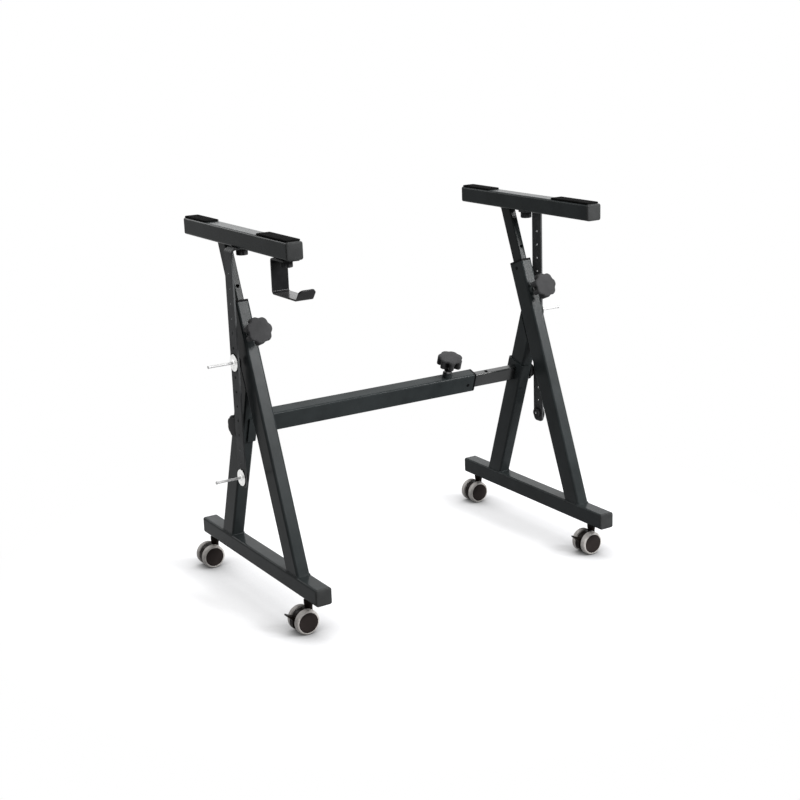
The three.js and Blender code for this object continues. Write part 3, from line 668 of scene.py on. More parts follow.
def spaced(outline, gap):
    """The outline with points at an even gap."""
    points = []
    for i, start in enumerate(outline):
        end = outline[(i + 1) % len(outline)]
        pieces = max(1, round((end - start).length / gap))
        points += [start.lerp(end, k / pieces) for k in range(pieces)]
    return points


def axis_frame(origin, axis):
    """A matrix whose Z lies along the axis, with its origin at the point."""
    return Matrix.Translation(origin) @ axis.to_track_quat("Z", "Y").to_matrix().to_4x4()


def joint_line(name):
    """A joint's place and axis."""
    joint = next(j for j in frame["joints"] if j["name"] == name)
    return Vector(joint["pos_m"]), Vector(joint["axis"]).normalized()


# Steel tubes, brackets and bushes keep their CAD shape and get a finish
def corner_marker():
    """A node group that shades faces smooth across edges under SMOOTH_ANGLE."""
    group = bpy.data.node_groups.new("corner_marker", "GeometryNodeTree")
    for way in ("INPUT", "OUTPUT"):
        group.interface.new_socket("Geometry", in_out=way, socket_type="NodeSocketGeometry")
    graph = Graph(group)
    start = graph.add("NodeGroupInput")
    end = graph.add("NodeGroupOutput")
    angle = graph.add("GeometryNodeInputMeshEdgeAngle")
    gentle = graph.add("FunctionNodeCompare", operation="LESS_THAN")
    gentle.inputs["B"].default_value = SMOOTH_ANGLE
    faces = graph.add("GeometryNodeSetShadeSmooth", domain="FACE")
    edges = graph.add("GeometryNodeSetShadeSmooth", domain="EDGE")
    graph.link(angle.outputs["Unsigned Angle"], gentle.inputs["A"])
    graph.link(gentle.outputs["Result"], edges.inputs["Shade Smooth"])
    graph.link(start.outputs[0], faces.inputs["Geometry"])
    graph.link(faces.outputs[0], edges.inputs["Geometry"])
    graph.link(edges.outputs[0], end.inputs[0])
    return group


marker = corner_marker()


def dress(node, look):
    """Gives a CAD node its finish, joins its facets and smooths its round corners."""
    piece = frame["nodes"][node]
    piece.data.materials.clear()
    piece.data.materials.append(look)
    add_modifier(piece, "weld", "WELD", merge_threshold=WELD_DISTANCE)
    add_modifier(piece, "plates", "DECIMATE", decimate_type="DISSOLVE", angle_limit=SAME_PLANE)
    add_modifier(piece, "corners", "NODES", node_group=marker)
    add_modifier(piece, "flats", "WEIGHTED_NORMAL", keep_sharp=True,
                 weight=LARGEST_FACES_ONLY, thresh=SMALLEST_FLAT)


def dress_frame():
    for side, _ in SIDES:
        for part in ("foot", "front_leg", "rear_leg", "clamp_bracket", "rail"):
            dress(f"{side}_{part}", steel)
        dress(f"{side}_leg_bush", bush_plastic)
        dress(f"{side}_inner_leg", inner_steel)
    dress("crossbar_outer", steel)
    dress("crossbar_bush", bush_plastic)
    dress("crossbar_inner", slide_steel)


# Weld beads round the feet of the legs and round the inner legs' tops
def aligned(rings):
    """Turns each ring's start to the point nearest the start of the ring before."""
    result = [rings[0]]
    for ring in rings[1:]:
        first = result[-1][0]
        nearest = min(range(len(ring)), key=lambda k: (ring[k] - first).length)
        result.append(ring[nearest:] + ring[:nearest])
    return result


def bead(name, path, body):
    """A rippled bead along a closed path of points."""
    rings = []
    for i, point in enumerate(path):
        heading = (path[(i + 1) % len(path)] - path[i - 1]).normalized()
        across = heading.orthogonal().normalized()
        upward = heading.cross(across)
        radius = WELD_RADIUS * (1 + WELD_RIPPLE * math.sin(i * WELD_RIPPLE_STEP))
        rings.append([
            point + radius * (x * across + y * upward) for x, y in circle(1, WELD_SIDES)
        ])
    bm = bmesh.new()
    stack_loop(bm, aligned(rings))
    finish_piece(name, bm, steel, body, "frame_steel")


def add_weld_beads():
    inner_y = FRONT_LEG_Y + (RAIL_BOTTOM - FOOT_TOP) * math.tan(FRONT_LEG_LEAN)
    welds = (
        ("front_leg_weld", FRONT_LEG_Y, FOOT_TOP, LEG_TUBE, FRONT_LEG_LEAN, "frame"),
        ("rear_leg_weld", REAR_LEG_Y, FOOT_TOP, LEG_TUBE, REAR_LEG_LEAN, "frame"),
        ("inner_leg_weld", inner_y, RAIL_BOTTOM, INNER_TUBE, FRONT_LEG_LEAN, "rail"),
    )
    for side, _ in SIDES:
        low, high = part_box(f"{side}_foot")
        middle = (low.x + high.x) / 2
        for name, y, z, (width, depth, corner), lean, body in welds:
            outline = spaced(rounded_rect(width, depth / math.cos(lean), corner), WELD_SPACING)
            path = [Vector((middle + p.x, y + p.y, z)) for p in outline]
            bead(f"{side}_{name}", path, f"{side}_{body}")


# Moulded end caps in the feet and rails
def end_cap(node, body):
    """A square cap whose plug sits in the tube's end."""
    low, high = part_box(node)
    outward, outer_y = (-1, low.y) if low.y + high.y < 0 else (1, high.y)
    width = high.x - low.x
    middle = Vector(((low.x + high.x) / 2, 0, (low.z + high.z) / 2))
    rings = []
    for narrower, depth in CAP_STEPS:
        size = width - narrower
        corner = max(CAP_LEAST_CORNER, TUBE_CORNER - narrower / 2)
        y = outer_y - outward * depth
        rings.append([middle + Vector((p.x, y, p.y)) for p in rounded_rect(size, size, corner)])
    plug_end = middle + Vector((0, outer_y - outward * CAP_STEPS[0][1], 0))
    face = middle + Vector((0, outer_y, 0))
    bm = bmesh.new()
    stack(bm, [[plug_end], *rings, [face]])
    finish_piece(f"{node}_moulding", bm, cap_plastic, body, "end_cap", node)


def add_end_caps():
    for side, _ in SIDES:
        for end in ENDS:
            end_cap(f"{side}_foot_cap_{end}", f"{side}_frame")
            end_cap(f"{side}_rail_cap_{end}", f"{side}_rail")


# Rubber pads on the rails
def rubber_pad(node, body):
    """A flat foam pad with a worn, rounded rim."""
    low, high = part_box(node)
    middle = (low + high) / 2
    size = high - low
    rings = []
    for inset, height in PAD_LAYERS:
        corner = max(PAD_LEAST_CORNER, PAD_CORNER - inset)
        outline = rounded_rect(size.x - 2 * inset, size.y - 2 * inset, corner)
        rings.append([
            Vector((middle.x + p.x, middle.y + p.y, low.z + height))
            for p in spaced(outline, PAD_SPACING)
        ])
    bm = bmesh.new()
    stack_flat(bm, rings)
    pad = finish_piece(f"{node}_foam", bm, pad_rubber, body, "pad", node)


def add_pads():
    for side, _ in SIDES:
        for end in ENDS:
            rubber_pad(f"{side}_pad_{end}", f"{side}_rail")


# Lobed knobs
def lobed_ring(radius, lobes, valley_share, height, place):
    """A ring of round lobes with valleys that are a share of the radius deep."""
    count = lobes * KNOB_STEPS
    points = []
    for k in range(count):
        angle = 2 * math.pi * k / count
        valley = ((1 - math.cos(lobes * angle)) / 2) ** KNOB_VALLEY_SHARPNESS
        reach = radius * (1 - valley_share * valley)
        points.append(place @ Vector((reach * math.cos(angle), reach * math.sin(angle), height)))
    return points


def lobed_cap(bm, radius, lobes, bottom, top, place, domed, undercut=0.0):
    """A star-shaped cap with a rounded rim, a shallow dome and valleys that deepen downwards."""
    deep = KNOB_VALLEY_SHARE
    low = deep + undercut
    tall = top - bottom
    rounding = min(0.16 * radius, 0.45 * tall)
    # Radius, depth of the valleys as a share of it, and height
    steps = [
        (0.50 * radius, 0.0, bottom + 0.12 * tall),
        (0.76 * radius, 0.7 * low, bottom),
        (radius - 0.35 * rounding, low, bottom + 0.10 * rounding),
        (radius, low, bottom + 0.5 * rounding),
        (radius, 0.9 * low + 0.1 * deep, bottom + 0.55 * tall),
        (radius, 0.4 * low + 0.6 * deep, bottom + 0.68 * tall),
        (radius, deep, top - rounding),
    ]
    for k in range(1, KNOB_DOME_STEPS + 1):
        angle = k / KNOB_DOME_STEPS * QUARTER_TURN
        inset = rounding * (1 - math.cos(angle))
        rise = rounding * math.sin(angle)
        flatter = deep * (1 - 0.35 * k / KNOB_DOME_STEPS)
        steps.append((radius - inset, flatter, top - rounding + rise))
    steps.append((0.55 * radius, 0.3 * deep, top + 0.6 * domed))
    steps.append((0.25 * radius, 0.0, top + domed))
    rings = [lobed_ring(r, lobes, share, height, place) for r, share, height in steps]
    underside = place @ Vector((0, 0, bottom + 0.10 * tall))
    crown = place @ Vector((0, 0, top + domed))
    stack(bm, [[underside], *rings, [crown]])


def star_knob(name, node, body, joint, turn):
    """A lobed cap on a neck, with a zinc collar above the boss and a screw down into it; neck,
    collar and screw are darkened as painted shade under the cap.
    """
    origin, axis = joint_line(joint)
    place = axis_frame(origin, axis) @ Matrix.Rotation(turn, 4, "Z")
    cap = bmesh.new()
    lobed_cap(cap, KNOB_RADIUS, KNOB_LOBES, KNOB_CAP_BOTTOM, KNOB_CAP_TOP - KNOB_DOME, place,
              KNOB_DOME, KNOB_UNDERCUT)
    finish_piece(name, cap, knob_plastic, body, "knob", node)
    # The neck is moulded with the knob, but takes the near-black bush plastic: painted shade under
    # the cap
    neck_bottom = KNOB_CAP_BOTTOM - KNOB_NECK_LENGTH
    neck_top = KNOB_CAP_BOTTOM + KNOB_NECK_OVERLAP
    neck = bmesh.new()
    turned(neck, filleted([
        (0, neck_bottom, 0),
        (KNOB_NECK_RADIUS, neck_bottom, KNOB_NECK_EDGE),
        (KNOB_NECK_RADIUS, neck_top, 0),
        (0, neck_top, 0),
    ]), SHAFT_STEPS, place)
    finish_piece(f"{name}_neck", neck, bush_plastic, body, "knob")
    # The collar and screw take the darkened zinc: painted shade under the cap
    shank_bottom = BOSS_HEIGHT + SHANK_GAP
    shank_top = neck_bottom + SHANK_OVERLAP
    shank = bmesh.new()
    turned(shank, [
        (0, -SCREW_DEPTH),
        (SCREW_RADIUS, -SCREW_DEPTH),
        (SCREW_RADIUS, shank_bottom),
        (SHANK_RADIUS, shank_bottom),
        (SHANK_RADIUS, shank_top),
        (0, shank_top),
    ], SHAFT_STEPS, place)
    finish_piece(f"{name}_shank", shank, collar_zinc_painted_shade, body, "zinc")


def clamp_knob(name, node, body, joint):
    """A flat lobed knob with its hub and the screw that crosses the rear leg."""
    origin, axis = joint_line(joint)
    place = axis_frame(origin, axis)
    bm = bmesh.new()
    lobed_cap(bm, CLAMP_KNOB_RADIUS, KNOB_LOBES, CLAMP_KNOB_BOTTOM,
              CLAMP_KNOB_TOP - CLAMP_KNOB_DOME, place, CLAMP_KNOB_DOME)
    turned(bm, [
        (0, -CLAMP_SCREW_DEPTH),
        (CLAMP_SCREW_RADIUS, -CLAMP_SCREW_DEPTH),
        (CLAMP_SCREW_RADIUS, CLAMP_HUB_BOTTOM),
        (CLAMP_HUB_RADIUS, CLAMP_HUB_BOTTOM),
        (CLAMP_HUB_RADIUS, CLAMP_HUB_TOP),
        (0, CLAMP_HUB_TOP),
    ], CLAMP_SCREW_STEPS, place)
    finish_piece(name, bm, knob_plastic, body, "knob", node)


def thumb_knob(name, node, body):
    """A small knob whose rounded face looks down, with its screw up into the rail."""
    low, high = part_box(node)
    middle = (low + high) / 2
    place = Matrix.Translation((middle.x, middle.y, low.z))
    flip = Matrix.Translation((middle.x, middle.y, low.z + THUMB_HEIGHT))
    flip = flip @ Matrix.Rotation(math.pi, 4, "X")
    bm = bmesh.new()
    lobed_cap(bm, THUMB_RADIUS, THUMB_LOBES, 0.0, THUMB_HEIGHT - THUMB_DOME, flip, THUMB_DOME)
    tall = high.z - low.z
    turned(bm, [
        (0, THUMB_SCREW_START),
        (THUMB_SCREW_RADIUS, THUMB_SCREW_START),
        (THUMB_SCREW_RADIUS, tall),
        (0, tall),
    ], THUMB_SCREW_STEPS, place)
    finish_piece(name, bm, knob_plastic, body, "knob", node)


def add_knobs():
    for side, _ in SIDES:
        leg_knob = f"{side}_leg_knob"
        clamp = f"{side}_clamp_knob"
        hanger_knob = f"{side}_hanger_knob"
        star_knob(f"{side}_star_knob", leg_knob, leg_knob, f"{leg_knob}_turn", LEG_KNOB_TURN)
        clamp_knob(f"{side}_wing_knob", clamp, clamp, f"{clamp}_turn")
        thumb_knob(f"{side}_thumb_knob", hanger_knob, hanger_knob)
    star_knob("width_star_knob", "crossbar_knob", "crossbar_knob", "crossbar_knob_turn",
              CROSSBAR_KNOB_TURN)
    thumb_knob("hook_thumb_knob", "hook_knob", "hook_knob")


# Bent plates: drawn flat, cut across at the bends, then bent
def strip(length, half, start_corner, end_corner):
    """The outline of a flat strip along X, with a corner radius for each end."""
    return looped([
        (0, -half, start_corner),
        (length, -half, end_corner),
        (length, half, end_corner),
        (0, half, start_corner),
    ], PLATE_CORNER_STEPS)


def round_hole(centre_x, radius):
    return [Vector((centre_x + x, y)) for x, y in circle(radius, HOLE_STEPS)]


def flat_plate(outline, holes):
    """A bmesh of a flat plate with its holes cut out."""
    curve = bpy.data.curves.new("flat_plate", "CURVE")
    curve.dimensions = "2D"
    curve.fill_mode = "BOTH"
    curve.extrude = PLATE / 2
    for loop in [outline, *holes]:
        spline = curve.splines.new("POLY")
        spline.points.add(len(loop) - 1)
        spline.use_cyclic_u = True
        for point, place in zip(spline.points, loop):
            point.co = (place.x, place.y, 0, 1)
    bm = bmesh.new()
    bm.from_mesh(evaluated_mesh(placed("flat_plate", curve)))
    bmesh.ops.remove_doubles(bm, verts=bm.verts, dist=MERGE)
    return bm


def bend_plate(bm, moves):
    """Bends a flat plate along its X; moves are (length, turn) pairs, turn 0 for a straight."""
    stations = []
    reached = 0.0
    for length, turn in moves:
        parts = PLATE_BEND_STEPS if turn else 1
        stations += [reached + length * k / parts for k in range(parts)]
        reached += length
    for station in stations[1:]:
        everything = bm.verts[:] + bm.edges[:] + bm.faces[:]
        bmesh.ops.bisect_plane(bm, geom=everything, dist=MERGE,
                               plane_co=(station, 0, 0), plane_no=(1, 0, 0))
    for vert in bm.verts:
        point, heading = along(moves, vert.co.x)
        normal = Vector((-math.sin(heading), math.cos(heading)))
        place = point + normal * vert.co.z
        vert.co = Vector((place.x, vert.co.y, place.y))


def along(moves, distance):
    """The point and heading at a distance along straights and bends, from the origin along +X."""
    point = Vector((0, 0))
    heading = 0.0
    for i, (length, turn) in enumerate(moves):
        run = distance if i + 1 == len(moves) else min(distance, length)
        if turn:
            radius = length / turn
            ahead = heading + turn * (run / length)
            point += radius * Vector((
                math.sin(ahead) - math.sin(heading),
                math.cos(heading) - math.cos(ahead),
            ))
            heading = ahead
        else:
            point += run * Vector((math.cos(heading), math.sin(heading)))
        distance -= run
        if distance <= 0:
            break
    return point, heading


def hanging_bar(side, sign):
    """The perforated bar: a short foot under the rail, a bend, and a long drop."""
    node = f"{side}_hanger_bar"
    low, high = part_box(node)
    half = (high.y - low.y) / 2
    inner_x, outer_x = (high.x, low.x) if sign < 0 else (low.x, high.x)
    top_z = high.z - PLATE / 2
    straight = abs(outer_x - inner_x) - PLATE / 2 - BAR_BEND
    bend_length = BAR_BEND * QUARTER_TURN
    drop = top_z - BAR_BEND - low.z
    total = straight + bend_length + drop
    knob_low, knob_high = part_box(f"{side}_hanger_knob")
    screw_at = abs((knob_low.x + knob_high.x) / 2 - inner_x)
    lowest = total - LOWEST_HOLE_UP
    holes = [round_hole(screw_at, THUMB_SCREW_RADIUS + HOLE_PLAY)]
    for k in range(PEG_HOLE_COUNT):
        holes.append(round_hole(lowest - k * PEG_HOLE_PITCH, PEG_HOLE_RADIUS))
    bm = flat_plate(strip(total, half, BAR_TIP_CORNER, BAR_TIP_CORNER), holes)
    bend_plate(bm, [(straight, 0), (bend_length, -QUARTER_TURN), (drop, 0)])
    start = Matrix.Translation((inner_x, (low.y + high.y) / 2, top_z))
    bmesh.ops.transform(bm, matrix=start @ Matrix.Diagonal((sign, 1, 1, 1)), verts=bm.verts)
    # The bar takes the lighter copy of the frame steel: painted light
    bar = finish_piece(f"{side}_hanging_bar", bm, bar_steel_painted_light, f"{side}_rail", "frame_steel", node)
    soften(bar, PLATE_EDGE)


def add_hanging_bars():
    for side, sign in SIDES:
        hanging_bar(side, sign)


def headphone_hook():
    """A flange under the rail, a drop, a tray to the front and a raised lip."""
    low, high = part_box("hook")
    half = (high.x - low.x) / 2
    top_z = high.z - PLATE / 2
    back_y = high.y - PLATE / 2
    bend_length = HOOK_BEND * QUARTER_TURN
    flange = HOOK_FLANGE - HOOK_BEND
    drop = top_z - (low.z + PLATE / 2) - 2 * HOOK_BEND
    lip_run = HOOK_BEND * math.sin(HOOK_LIP_ANGLE) + HOOK_LIP * math.cos(HOOK_LIP_ANGLE)
    tip = (PLATE / 2) * math.sin(HOOK_LIP_ANGLE)
    tray = (back_y - low.y) - lip_run - tip - HOOK_BEND
    moves = [
        (flange, 0),
        (bend_length, -QUARTER_TURN),
        (drop, 0),
        (bend_length, -QUARTER_TURN),
        (tray, 0),
        (HOOK_BEND * HOOK_LIP_ANGLE, -HOOK_LIP_ANGLE),
        (HOOK_LIP, 0),
    ]
    total = sum(length for length, _ in moves)
    flange_end_y = back_y - HOOK_BEND - flange
    knob_low, knob_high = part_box("hook_knob")
    screw_at = (knob_low.y + knob_high.y) / 2 - flange_end_y
    holes = [round_hole(screw_at, THUMB_SCREW_RADIUS + HOLE_PLAY)]
    bm = flat_plate(strip(total, half, HOOK_FLANGE_CORNER, HOOK_CORNER), holes)
    bend_plate(bm, moves)
    start = Matrix.Translation(((low.x + high.x) / 2, flange_end_y, top_z))
    turn = Matrix(((0, -1, 0), (1, 0, 0), (0, 0, 1))).to_4x4()
    bmesh.ops.transform(bm, matrix=start @ turn, verts=bm.verts)
    hook = finish_piece("headphone_hook", bm, enamel, "left_rail", "hook_steel", "hook")
    soften(hook, PLATE_EDGE)


# Pegs with their washers, and the nuts behind the bar
def peg(name, node, origin, sign, body):
    """A headed rod through a coned washer on a rubber ring; sign is its side of the stand."""
    place = axis_frame(origin, Vector((sign, 0, 0)))
    rod = bmesh.new()
    turned(rod, filleted([
        (0, -PEG_TAIL, 0),
        (PEG_RADIUS, -PEG_TAIL, 0),
        (PEG_RADIUS, PEG_REACH - PEG_HEAD_START, 0.0004),
        (PEG_HEAD_RADIUS, PEG_REACH - PEG_HEAD_LENGTH, 0.0006),
        (PEG_HEAD_RADIUS, PEG_REACH, 0.0010),
        (0, PEG_REACH, 0),
    ]), SHAFT_STEPS, place)
    finish_piece(name, rod, rod_zinc, body, "zinc", node)
    rubber_top = RUBBER_BOTTOM + RUBBER_THICKNESS
    washer_top = rubber_top + WASHER_THICKNESS
    washer_radius = WASHER_RADIUS - WASHER_INSET
    outline = filleted([
        (PEG_RADIUS, rubber_top, 0),
        (washer_radius, rubber_top, WASHER_EDGE),
        (washer_radius, washer_top, WASHER_EDGE),
        (WASHER_CONE_RADIUS, washer_top, 0),
        (WASHER_CONE_TOP_RADIUS, washer_top + 0.0024, 0.0006),
        (PEG_RADIUS, washer_top + 0.0026, 0),
    ])
    washer = bmesh.new()
    turned(washer, [*outline, outline[0]], SHAFT_STEPS, place)
    finish_piece(f"{name}_washer", washer, zinc, body, "zinc")
    rubber = bmesh.new()
    turned(rubber, [
        (0, RUBBER_BOTTOM),
        (WASHER_RADIUS, RUBBER_BOTTOM),
        (WASHER_RADIUS, rubber_top),
        (0, rubber_top),
    ], SHAFT_STEPS, place)
    finish_piece(f"{name}_rubber", rubber, pad_rubber, body, "pad")


def nut(name, node, body):
    """A knurled round nut."""
    low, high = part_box(node)
    place = axis_frame((low + high) / 2, Vector((1, 0, 0)))
    bore = PEG_RADIUS + HOLE_PLAY
    chamfered = NUT_RADIUS - NUT_CHAMFER
    # Radius, depth of the knurl, and height
    profile = (
        (bore, 0, -NUT_HALF),
        (chamfered, NUT_KNURL, -NUT_HALF),
        (NUT_RADIUS, NUT_KNURL, -NUT_HALF + NUT_CHAMFER),
        (NUT_RADIUS, NUT_KNURL, NUT_HALF - NUT_CHAMFER),
        (chamfered, NUT_KNURL, NUT_HALF),
        (bore, 0, NUT_HALF),
    )
    directions = circle(1, 4 * NUT_RIDGES)
    rings = []
    for radius, depth, height in profile:
        ring = []
        for k, (x, y) in enumerate(directions):
            reach = radius - depth + depth * math.cos(k * QUARTER_TURN)
            ring.append(place @ Vector((reach * x, reach * y, height)))
        rings.append(ring)
    bm = bmesh.new()
    stack_loop(bm, rings)
    finish_piece(name, bm, knob_plastic, body, "knob", node)


def add_pegs():
    for side, sign in SIDES:
        body = f"{side}_rail"
        low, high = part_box(f"{side}_hanger_bar")
        outer_x = low.x if sign < 0 else high.x
        for level in ("lower", "upper"):
            node = f"{side}_peg_{level}"
            peg_low, peg_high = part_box(node)
            middle = (peg_low + peg_high) / 2
            origin = Vector((outer_x, middle.y, middle.z))
            peg(f"{side}_pin_{level}", node, origin, sign, body)
            nut(f"{side}_{level}_nut", f"{side}_peg_nut_{level}", body)


# Casters
def wheel_pair(prefix):
    """Two wheels with their hubs, on one axle."""
    origin, _ = joint_line(f"{prefix}_wheel_spin")
    body = f"{prefix}_wheels"
    tyres = bmesh.new()
    hubs = bmesh.new()
    rim = HUB_RADIUS - 0.0006
    hub_face = WHEEL_OUTER + HUB_PROUD
    for sign in (-1, 1):
        place = axis_frame(origin, Vector((0, sign, 0)))
        turned(tyres, filleted([
            (0, WHEEL_INNER + 0.0010, 0),
            (HUB_RADIUS, WHEEL_INNER + 0.0010, 0),
            (HUB_RADIUS + 0.0006, WHEEL_INNER, 0.0003),
            (WHEEL_RADIUS, WHEEL_INNER, 0.0022),
            (WHEEL_RADIUS, WHEEL_OUTER, 0.0040),
            (HUB_RADIUS, WHEEL_OUTER, 0.0004),
            (HUB_RADIUS - 0.0004, WHEEL_OUTER - 0.0012, 0),
            (0, WHEEL_OUTER - 0.0012, 0),
        ], 7), WHEEL_STEPS, place)
        turned(hubs, filleted([
            (0, WHEEL_OUTER - 0.0020, 0),
            (rim, WHEEL_OUTER - 0.0020, 0),
            (rim, hub_face - 0.0003, 0.0005),
            (HUB_RADIUS - 0.0030, hub_face, 0.0020),
            (0, hub_face, 0),
        ], 5), WHEEL_STEPS, place)
    axle_end = WHEEL_INNER + AXLE_OVERLAP
    turned(hubs, [
        (0, -axle_end),
        (AXLE_RADIUS, -axle_end),
        (AXLE_RADIUS, axle_end),
        (0, axle_end),
    ], AXLE_STEPS, axis_frame(origin, Vector((0, 1, 0))))
    finish_piece(f"{prefix}_tyres", tyres, tread, body, "caster_wheel", f"{prefix}_caster_wheels")
    finish_piece(f"{prefix}_hubs", hubs, hub_plastic, body, "caster_hood")


def caster_hood(prefix):
    """A moulded body between the wheels that runs up into the stem's socket."""
    stem, _ = joint_line(f"{prefix}_swivel")
    wheel, _ = joint_line(f"{prefix}_wheel_spin")
    bm = bmesh.new()
    turned(bm, filleted([
        (0, -HOOD_HALF, 0),
        (HOOD_RADIUS, -HOOD_HALF, HOOD_EDGE),
        (HOOD_RADIUS, HOOD_HALF, HOOD_EDGE),
        (0, HOOD_HALF, 0),
    ]), HOOD_STEPS, axis_frame(wheel, Vector((0, 1, 0))))
    # Radius, height and fillet of the neck, the collar and the stem
    turned(bm, filleted([
        (0, WHEEL_RADIUS, 0),
        (0.0062, WHEEL_RADIUS, 0),
        (0.0068, 0.043, 0.003),
        (COLLAR_RADIUS, 0.050, 0.002),
        (COLLAR_RADIUS, 0.0565, 0.0012),
        (STEM_RADIUS, 0.0575, 0.0006),
        (STEM_RADIUS, CASTER_HEIGHT, 0),
        (0, CASTER_HEIGHT, 0),
    ]), STEM_STEPS, Matrix.Translation((stem.x, stem.y, 0)))
    bmesh.ops.recalc_face_normals(bm, faces=bm.faces)
    rough = placed("hood", mesh_from("hood", bm))
    add_modifier(rough, "fuse", "REMESH", mode="VOXEL", voxel_size=HOOD_VOXEL)
    add_modifier(rough, "relax", "SMOOTH", factor=0.5, iterations=4)
    adopt(f"{prefix}_hood", evaluated_mesh(rough), hood_plastic, f"{prefix}_caster",
          "caster_hood", f"{prefix}_caster_hood")


def brake_lever(prefix):
    """A shoe round the wheels with a tab for the toe."""
    origin, _ = joint_line(f"{prefix}_brake_press")
    low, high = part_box(f"{prefix}_brake_lever")
    half = (high.y - low.y) / 2

    def at(radius, angle):
        return Vector((-radius * math.cos(angle), 0, radius * math.sin(angle)))

    sweep = LEVER_HIGH - LEVER_LOW
    arc = [LEVER_LOW + sweep * k / LEVER_STEPS for k in range(LEVER_STEPS + 1)]
    outline = [at(LEVER_SHOE, angle) for angle in arc]
    outline += [
        at(LEVER_REACH - 0.001, LEVER_HIGH - 0.3 * LEVER_TAB),
        at(LEVER_REACH, LEVER_HIGH - 0.55 * LEVER_TAB),
        at(LEVER_REACH - 0.001, LEVER_HIGH - 0.9 * LEVER_TAB),
        at(LEVER_BACK + 0.003, LEVER_HIGH - 1.7 * LEVER_TAB),
        at(LEVER_BACK + 0.0006, LEVER_HIGH - 2.4 * LEVER_TAB),
    ]
    below_tab = LEVER_HIGH - math.radians(20)
    outline += [at(LEVER_BACK, angle) for angle in reversed(arc) if angle < below_tab]
    bm = bmesh.new()
    stack_flat(bm, [[origin + p + Vector((0, y, 0)) for p in outline] for y in (-half, half)])
    lever = finish_piece(f"{prefix}_brake", bm, hood_plastic, f"{prefix}_brake", "caster_hood",
                         f"{prefix}_brake_lever")
    soften(lever, LEVER_EDGE)


def add_casters():
    for side, _ in SIDES:
        for end in ENDS:
            wheel_pair(f"{side}_{end}")
            caster_hood(f"{side}_{end}")
        brake_lever(f"{side}_front")


# Camera, floor and light
def add_camera():
    forward = Vector((
        math.sin(CAMERA_YAW) * math.cos(CAMERA_PITCH),
        math.cos(CAMERA_YAW) * math.cos(CAMERA_PITCH),
        -math.sin(CAMERA_PITCH),
    ))
    across = Vector((math.cos(CAMERA_YAW), -math.sin(CAMERA_YAW), 0))
    down = forward.cross(across)
    right = math.cos(CAMERA_ROLL) * across + math.sin(CAMERA_ROLL) * down
    below = -math.sin(CAMERA_ROLL) * across + math.cos(CAMERA_ROLL) * down
    data = bpy.data.cameras.new("camera")
    data.sensor_width = SENSOR_WIDTH_MM
    data.lens = FOCAL_LENGTH_PX * SENSOR_WIDTH_MM / PICTURE_WIDTH_PX
    camera = placed("camera", data)
    turn = Matrix((right, -below, -forward)).transposed().to_4x4()
    camera.matrix_world = Matrix.Translation(CAMERA_PLACE) @ turn
    bpy.context.scene.camera = camera


def background(graph, strength):
    node = graph.add("ShaderNodeBackground")
    node.inputs["Strength"].default_value = strength
    node.inputs["Color"].default_value = (1, 1, 1, 1)
    return node


def add_world():
    """Plain white to the eye and in mirrored rays, and a soft even light on the surfaces."""
    world = bpy.data.worlds.new("studio")
    bpy.context.scene.world = world
    world.use_nodes = True
    graph = Graph(world.node_tree)
    soft = background(graph, WORLD_LIGHT)
    white = background(graph, 1.0)
    graph.mix_to_output(graph.seen_directly(), soft, white, "ShaderNodeOutputWorld")


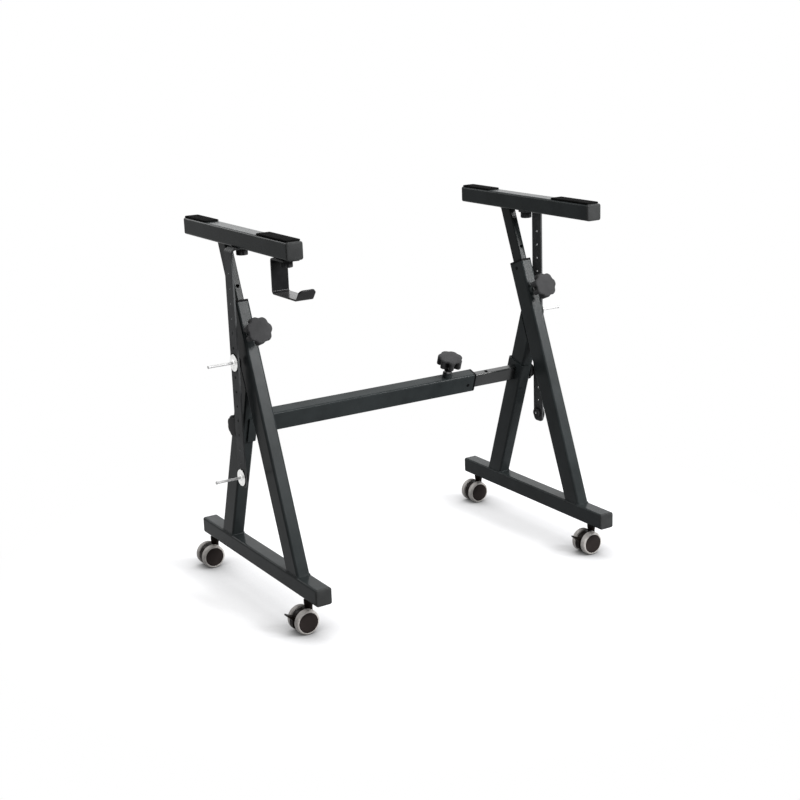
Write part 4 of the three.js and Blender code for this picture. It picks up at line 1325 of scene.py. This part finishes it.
def floor_material():
    """Paper that takes the stand's shadow from the lamps close by, plus a painted contact shadow
    from ambient occlusion, and fades to plain white further out.
    """
    look = bpy.data.materials.new("floor")
    look.use_nodes = True
    graph = Graph(look.node_tree)
    direct = graph.seen_directly()
    # Ambient occlusion darkens the paper's tint and glow near the stand: a painted contact shadow
    painted_contact_shadow = graph.openness(CONTACT_REACH, CONTACT_POWER)
    tint = graph.add("ShaderNodeVectorMath", operation="SCALE")
    tint.inputs[0].default_value = FLOOR_TINT
    graph.link(painted_contact_shadow, tint.inputs["Scale"])
    paper = graph.add("ShaderNodeBsdfDiffuse")
    graph.link(tint.outputs[0], paper.inputs["Color"])
    shine = graph.add("ShaderNodeEmission")
    glow = graph.maths("MULTIPLY", direct, graph.maths("MULTIPLY", painted_contact_shadow, FLOOR_GLOW))
    graph.link(glow, shine.inputs["Strength"])
    near = graph.add("ShaderNodeAddShader")
    graph.link(paper.outputs[0], near.inputs[0])
    graph.link(shine.outputs[0], near.inputs[1])
    place = graph.add("ShaderNodeTexCoord")
    distance = graph.add("ShaderNodeVectorMath", operation="LENGTH")
    graph.link(place.outputs["Object"], distance.inputs[0])
    fade = graph.add("ShaderNodeMapRange", interpolation_type="SMOOTHSTEP")
    fade.inputs["From Min"].default_value = FLOOR_FADE[0]
    fade.inputs["From Max"].default_value = FLOOR_FADE[1]
    graph.link(distance.outputs["Value"], fade.inputs["Value"])
    white = graph.add("ShaderNodeEmission")
    white.inputs["Strength"].default_value = 1.0
    share = graph.maths("MULTIPLY", fade.outputs["Result"], direct)
    graph.mix_to_output(share, near, white, "ShaderNodeOutputMaterial")
    return look


def add_floor():
    bm = bmesh.new()
    bmesh.ops.create_circle(bm, cap_ends=True, radius=FLOOR_RADIUS, segments=FLOOR_STEPS)
    floor = placed("floor", mesh_from("floor", bm))
    floor.data.materials.append(floor_material())


def add_lamp(name, place, target, width, height, radiance):
    """A rectangular area lamp that the camera doesn't see."""
    data = bpy.data.lights.new(name, "AREA")
    data.shape = "RECTANGLE"
    data.size = width
    data.size_y = height
    data.energy = radiance * math.pi * width * height
    lamp = placed(name, data)
    lamp.visible_camera = False
    lamp.location = place
    lamp.rotation_mode = "QUATERNION"
    lamp.rotation_quaternion = (Vector(target) - Vector(place)).to_track_quat("-Z", "Y")


def add_studio():
    bpy.context.scene.view_settings.view_transform = "Standard"
    add_world()
    add_floor()
    for lamp in LAMPS:
        add_lamp(*lamp)


add_camera()
dress_frame()
add_weld_beads()
add_end_caps()
add_pads()
add_knobs()
add_hanging_bars()
headphone_hook()
add_pegs()
add_casters()
add_studio()
